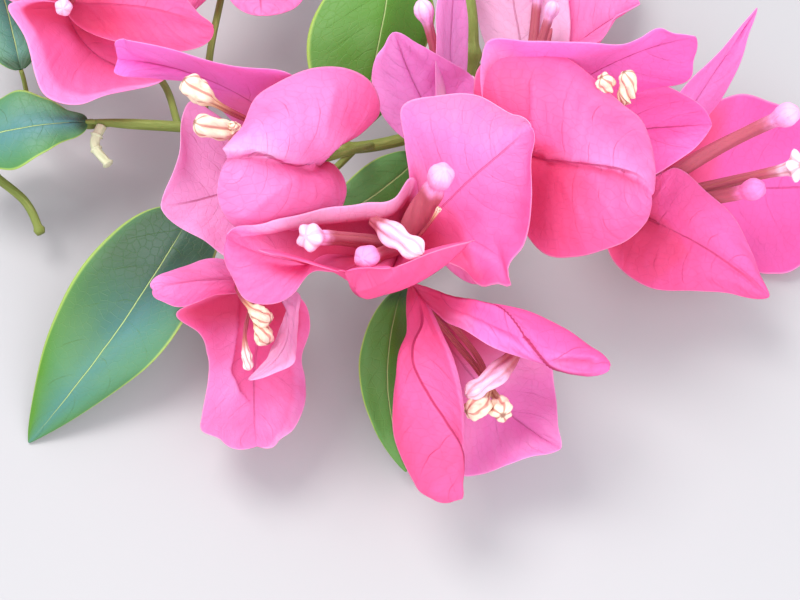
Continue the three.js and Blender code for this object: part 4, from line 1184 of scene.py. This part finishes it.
bloom("behind", (9.4, 28.1, -27))
bract(
    tip=(-1.1, 50.2, -14), mid=(3.4, 39, -24), tone=(1.5, 0.2, -0.3, 0), cool=0.55, blush=(0.2, 0.3),
    veins=0.3,
    left=[(0.15, 3.8, 28.1, -24), (0.3, -1.5, 32.2, -21), (0.45, -4.3, 36.6, -18), (0.6, -5.1, 41.3, -16),
          (0.8, -4.1, 45.9, -14), (0.93, -2.6, 48.4, -14)],
    right=[(0.25, 15.9, 35.6, -25), (0.45, 14, 41.3, -24), (0.65, 9.4, 44.6, -20), (0.8, 5.6, 46.9, -17),
           (0.92, 1.9, 48.9, -15)],
)
bract(
    tip=(10.3, 62.8, -20), mid=(9.4, 45.9, -28), lobe=0.06, tone=(2, 0, 0, 0), cool=0.5, veins=0.1,
    left=[(0.5, 6.8, 50.6, -18)],
    right=[(0.5, 12.8, 46.9, -30)],
)
bract(
    tip=(14, 3, -30), mid=(11, 15, -25), lobe=0.06,
    left=[(0.5, 4, 15, -23)],
    right=[(0.5, 20, 14, -24)],
)
flower("bud", (9, 36, -28), (6.5, 49, -24), (3.8, 56.2, -19), radius=2)
flower("bud", (11, 34, -30), (13.6, 42, -31), radius=1.5)
flower("bud", (9, 34, -30), (8, 41, -30), radius=1.5)
print("blooms so far:", list(BLOOMS))

# %% [markdown]
# Three blooms close the spray at the top. Much of them lies beyond what is usually looked at, but they
# are finished as the others are, because a part is seen from all sides.

# %% The top blooms
bloom("far_left", (-62.6, 55.3, -40))
bract(
    tip=(-44.2, 41.4, -38), mid=(-56.8, 45.9, -44), tone=(-0.3, 0, 0.3, 0.2), rim=(0, 0.7),
    blush=(0.6, 0.35), veins=0.2,
    left=[(0.3, -55.3, 53.4, -42), (0.7, -49.7, 45.9, -42)],
    right=[(0.15, -73.1, 55.5, -33), (0.3, -70.3, 49.3, -29), (0.45, -68.4, 42.2, -26),
           (0.58, -65.6, 38, -25), (0.7, -60, 36.9, -25), (0.82, -54, 38.6, -28),
           (0.93, -47.8, 39.9, -34)],
)
bract(
    tip=(-35, 51.2, -32), mid=(-48.8, 54.8, -34), tone=(-0.2, 0, 0, 0), blush=(0.4, 0.6), veins=0.2,
    left=[(0.35, -52.5, 65.6, -38), (0.6, -45, 62.8, -36), (0.8, -39.4, 55.5, -34),
          (0.9, -36.9, 53, -33)],
    right=[(0.35, -52.9, 48.4, -36), (0.6, -45, 46.5, -34), (0.85, -37.5, 47.4, -32)],
)
bract(
    tip=(-72.2, 78.8, -44), mid=(-68.4, 65.6, -48), lobe=0.06, tone=(0.8, 0, 0, 0),
    left=[(0.45, -79.7, 63.8, -42)],
    right=[(0.45, -58.1, 72.2, -46)],
)
flower("bud", (-62.6, 56, -34), (-63.2, 54.6, -26), radius=1.8)
flower("bud", (-64, 58, -34), (-66, 60, -28), radius=1.6)
flower("bud", (-61, 58, -34), (-60, 60, -28), radius=1.6)

bloom("top_left", (-28.1, 67.5, -48))
bract(
    tip=(-25.9, 53.3, -34), mid=(-26.6, 60, -38), lobe=0.06, tone=(0.3, 0, 0, 0),
    left=[(0.5, -33.2, 59.1, -40)],
    right=[(0.5, -17.3, 59.1, -40)],
)
bract(
    tip=(-40, 54.5, -40), mid=(-35.5, 61, -47), lobe=0.06,
    left=[(0.5, -40, 64, -50)],
    right=[(0.5, -35.6, 57, -46)],
)
bract(
    tip=(-30, 91.9, -52), mid=(-29.1, 78.8, -54), lobe=0.06,
    left=[(0.45, -38.4, 79.7, -50)],
    right=[(0.45, -18.8, 79.7, -50)],
)
flower("bud", (-29, 67, -40), (-30, 66, -32), radius=1.6)
flower("bud", (-27, 69, -40), (-26, 70, -32), radius=1.6)
flower("bud", (-30, 70, -40), (-31, 71, -34), radius=1.6)

bloom("top_right", (24.4, 40.3, -46))
bract(
    tip=(19.7, 70.3, -38), mid=(21.6, 54.4, -48), lobe=0.06, tone=(2, 0, 0, 0), veins=0.2,
    left=[(0.45, 14.2, 54.8, -49)],
    right=[(0.45, 31.5, 56.6, -46)],
)
bract(
    tip=(45, 55.5, -40), mid=(35.6, 49.7, -48), lobe=0.06, tone=(0.4, 0.3, 0, 0), veins=0.2,
    left=[(0.5, 32.8, 59.1, -50)],
    right=[(0.3, 32.2, 46.9, -45), (0.6, 38.2, 49.5, -42), (0.8, 40.3, 52.9, -41),
           (0.93, 43.1, 54.4, -40)],
)
bract(
    tip=(37.5, 67.5, -66), mid=(31.9, 54.4, -62), lobe=0.06, tone=(0.3, 0, 0, 0),
    left=[(0.5, 22, 60, -62)],
    right=[(0.5, 42, 56, -62)],
)
flower("bud", (26, 48, -42), (29, 56, -40), radius=1.6)
flower("bud", (28, 50, -48), (31, 58, -50), radius=1.6)
flower("bud", (25, 50, -47), (26, 59, -46), radius=1.6)
print("blooms so far:", list(BLOOMS))

# %% [markdown]
# The leaves are written down in the same way, with the foot of each leaf stalk on the stem or the shoot.

# %% The leaves
# A leaf's tone is how strongly its painted reflection of the sky shows, and blush how far its painted
# shade reaches from the base.
LEAVES = {
    "big_left": dict(
        foot=(-20, 29.2, -36), base=(-39, 16.5, -30), mid=(-52.9, -5.6, -24), tip=(-69.6, -26.8, -31),
        tone=(1.1, -0.3, 0.2, -0.8), blush=(0.7, 0.5),
        left=[(0.3, -56.6, 10.2, -28), (0.7, -66.6, -8.4, -29)],
        right=[(0.3, -35.6, 6, -28), (0.7, -48.9, -13.9, -25)],
    ),
    "far_left": dict(
        foot=(-55, 33.4, -36), base=(-58.9, 33.4, -36), mid=(-72.2, 32, -34), tip=(-86.3, 27.8, -40),
        tone=(1.2, 0, 0, -0.9),
        left=[(0.2, -61.9, 35.6, -37), (0.4, -66.6, 37.9, -37), (0.65, -74, 38.8, -37)],
        right=[(0.2, -61.9, 30.2, -34), (0.4, -66.6, 27.6, -32), (0.65, -74, 24.5, -33)],
    ),
    "top_left": dict(
        foot=(-52, 33.1, -36), turn=(-67, 33, -51), base=(-71.1, 43.1, -46), mid=(-74.1, 56.3, -50),
        tip=(-77.8, 70.3, -52), tone=(0.9, 0, 0, -0.3),
        left=[(0.45, -80.6, 54.4, -48)],
        right=[(0.45, -67.9, 57.2, -52)],
    ),
    "top": dict(
        foot=(11.6, 60, -50), base=(-1.5, 64.7, -38), mid=(-3.8, 48.8, -34), tip=(-8.4, 30.9, -38),
        left=[(0.4, -17.3, 49.7, -34)],
        right=[(0.4, 6, 50.6, -42)],
    ),
    "low": dict(
        foot=(4, 8, -26), base=(0.4, 2.3, -24), mid=(-2.3, -15, -22), tip=(1.1, -32.3, -23),
        tone=(0.1, 0, 0, 0),
        left=[(0.5, -7.5, -15.4, -21)],
        right=[(0.5, 3.8, -13.5, -29)],
    ),
    "middle": dict(
        foot=(10.5, 27, -37.2), base=(3.8, 27, -39), mid=(-5, 19.5, -33), tip=(-15.4, 13, -34),
        tone=(0.2, 0, 0, 0),
        left=[(0.45, -8, 24, -33)],
        right=[(0.45, 0.9, 12.6, -36)],
    ),
}
print("leaves:", len(LEAVES))

# %% [markdown]
# Stem, shoot, stalks and twigs are rows of places that a smooth curve runs through. A stalk's last place
# is the heart of its bloom, so it isn't written down again.

# %% The stem, the shoot, the stalks and the twigs
STEM = [
    (7, 74, -88), (9.5, 67, -60), (12.5, 57, -40), (13.4, 46, -38), (12, 32, -38), (8, 15, -33),
    (3.5, 6, -22),
]
SHOOT = [(12.4, 35, -38), (0, 30, -38), (-14, 28.5, -36), (-36, 32, -36), (-57, 33.4, -36)]
STALKS = dict(
    centre=[(5, 9, -26.5), (1.8, 8.5, -19)],
    left=[(-5, 29, -37.4), (-9, 28, -26)],
    right=[(12.4, 34, -38), (18, 31, -28)],
    low=[(4, 7, -24), (2.6, 5, -19)],
    low_left=[(-8, 28.8, -37), (-20, 16, -36)],
    far_right=[(11.5, 28, -37.6), (28, 22, -44)],
    behind=[(11.2, 28.6, -37.4), (10.4, 28.2, -33)],
    far_left=[(-41.5, 32.7, -36), (-45, 41.5, -46), (-55, 50, -52)],
    top_left=[(-37, 32.1, -36), (-35.8, 45, -44), (-34.3, 53, -51), (-32, 62, -56)],
    top_right=[(13.5, 45, -38), (20, 37.5, -46)],
)
TWIGS = dict(
    spent_stalk=[(-56, 32.6, -36), (-57.2, 29, -34.6), (-54.6, 25.3, -33.4)],
    spent_twig=[
        (-57.6, 33, -38), (-70, 32.4, -46), (-79, 27, -45.6), (-70.4, 18.6, -43), (-67.3, 12.4, -42),
    ],
)
TWIG_TONE = dict(spent_stalk=-0.8, spent_twig=0.2)
print("stalks:", len(STALKS), "twigs:", len(TWIGS))

# %% [markdown]
# ## Putting it together
#
# Each bloom becomes two pieces, its bracts and its flowers, which stand in for the bloom's solid. A bract
# shows its inner face to the middle of its bloom, so a point in front of the heart decides which side of
# the sheet gets which paint.

# %% Build the blooms
BRACT_THICK = 0.28  # mm
BRACT_GRID = 92, 72  # points along and across
AXIS_POINT = 20  # mm in front of the heart


def build_bloom(number, name, spec):
    """A bloom's bracts as one piece and its flowers as another. The inner face of every bract looks to a
    point on the bloom's axis, which runs from the heart to the middle of the bracts' tips."""
    heart = place(spec["heart"])
    tips = np.mean([place(b["tip"]) for b in spec["bracts"]], axis=0)
    inside = heart + unit(tips - heart) * AXIS_POINT
    seeds = range(10 * number, 10 * number + 10)
    blades = [read_blade(spec["heart"], **b) for b in spec["bracts"]]
    sheets = [blade_part(b, BRACT_THICK, *BRACT_GRID, seed, inside) for b, seed in zip(blades, seeds)]
    make_piece("bracts_" + name, sheets, BRACT, ["bloom_" + name])
    tubes = [flower_part(heart=spec["heart"], seed=seed, **f) for f, seed in zip(spec["flowers"], seeds)]
    make_piece("flowers_" + name, tubes, [FLOWER], ["bloom_" + name])


for number, (name, spec) in enumerate(BLOOMS.items()):
    build_bloom(number, name, spec)

# %% [markdown]
# A leaf is one piece with its own stalk, which grows out of the stem or the shoot.

# %% Build the leaves
LEAF_THICK = 0.4  # mm
LEAF_GRID = 80, 48  # points along and across
# Every leaf is a little darker at its base, as painted shade.
LEAF_SHAPE = dict(ends=(0.55, 0.85), wave=(0.5, 0.5), curl=(0.2, 0.2), puff=0.07, blush=(0.1, 0.1))
LEAF_SEED = 200
LEAF_STALK = 0.65, 0.5  # mm, the stalk's radius at its foot and at the leaf


def build_leaf(number, name, foot, turn=None, **spec):
    """A leaf and its stalk as one piece. The leaf's upper face looks to the eye, and the stalk runs from
    its foot on the stem to the leaf's base."""
    blade = read_blade(**{**LEAF_SHAPE, **spec})
    above = place(spec["mid"]) + 50 * FRONT
    body = blade_part(blade, LEAF_THICK, *LEAF_GRID, LEAF_SEED + number, above)
    halfway = turn or tuple((np.array(foot) + spec["base"]) / 2)
    stalk = limb_part([foot, halfway, spec["base"]], *LEAF_STALK, slot=2, count=40)
    make_piece("leaf_" + name + "_fine", [body, stalk], [*LEAF, STEM_PAINT], ["leaf_" + name])


for number, (name, spec) in enumerate(LEAVES.items()):
    build_leaf(number, name, **spec)

# %% [markdown]
# The limbs come last. Each is a tube whose radius falls a little from its foot to its end, in mm, with
# knots at the shares given, and the shoot tapers off into the stalk of its last leaf.

# %% Build the stems
def build_limbs(name, limbs, nodes):
    """Limbs as one piece of the stem's paint."""
    make_piece(name, limbs, [STEM_PAINT], nodes)


build_limbs("stem_fine", [limb_part(STEM, 2.1, 0.9, (0.3, 0.5, 0.62))], ["main_stem"])
build_limbs("shoot_fine", [limb_part(SHOOT, 1.4, 1.1, (0.2, 0.45, 0.7), taper=0.45)], ["left_shoot"])
stalks = [limb_part([*ways, BLOOMS[name]["heart"]], 0.8, 0.75, count=50) for name, ways in STALKS.items()]
build_limbs("stalks_fine", stalks, ["stalk_" + name for name in STALKS])
knots = (0.25, 0.6, 0.97)
twigs = [limb_part(ways, 1.1, 0.9, knots, count=60, tone=TWIG_TONE[name]) for name, ways in TWIGS.items()]
build_limbs("twigs_fine", twigs, list(TWIGS))

# %% [markdown]
# ## Floor and light
#
# A pale floor and soft light let the pinks speak: one lamp above and behind the spray gives it shape, a
# wide one in front lights the shadows, and a pale sky lies all round.

# %% Set the floor
FLOOR_HALF = 4  # metres
FLOOR_GREY = (0.42, 0.415, 0.43)
FLOOR_PALE = (0.48, 0.47, 0.48)
floor_mesh = bpy.data.meshes.new("floor")
corners = [(x * FLOOR_HALF, y * FLOOR_HALF, 0) for x, y in ((-1, -1), (1, -1), (1, 1), (-1, 1))]
floor_mesh.from_pydata(corners, [], [(0, 1, 2, 3)])
floor = bpy.data.objects.new("floor", floor_mesh)
bpy.context.scene.collection.objects.link(floor)
p = Paint("floor")
cloud = p.noise(p.node("ShaderNodeTexCoord", out=3), 3.0)  # output 3 is Object
floor_mesh.materials.append(p.finish(p.mix(cloud, FLOOR_GREY, FLOOR_PALE), 0.7 + cloud * 0.1))
print("floor:", 2 * FLOOR_HALF, "m wide")

# %% [markdown]
# A lamp could be aimed by a constraint that tracks the spray. Two angles worked out from its place do the
# same and need no helper object. The lamps are wide for their distance, so that no shadow has a hard edge.

# %% Set the lamps and the sky
LOOK = np.array([0, 0, 0.03])  # metres, the middle of the spray


def lamp(name, at, size, watts, colour):
    """A square lamp that looks at the middle of the spray."""
    light = bpy.data.lights.new(name, "AREA")
    light.size, light.energy, light.color = size, watts, colour
    made = bpy.data.objects.new(name, light)
    made.location = at
    aim = LOOK - np.array(at)
    tilt = math.acos(aim[2] / np.linalg.norm(aim)) - math.pi
    made.rotation_euler = (tilt, 0, math.atan2(-aim[0], aim[1]) + math.pi)
    bpy.context.scene.collection.objects.link(made)


lamp("key", (-0.22, 0.15, 0.6), 0.3, 3.0, (1.0, 0.98, 0.96))
lamp("fill", (0.2, -0.45, 0.4), 0.6, 2.8, (0.95, 0.97, 1.0))
world = bpy.data.worlds.new("sky")
world.use_nodes = True
world.node_tree.nodes["Background"].inputs["Color"].default_value = (0.93, 0.96, 1.0, 1)
world.node_tree.nodes["Background"].inputs["Strength"].default_value = 1.0
bpy.context.scene.world = world
bpy.context.scene.view_settings.view_transform = "Standard"
print("lamps:", [light.name for light in bpy.data.lights])
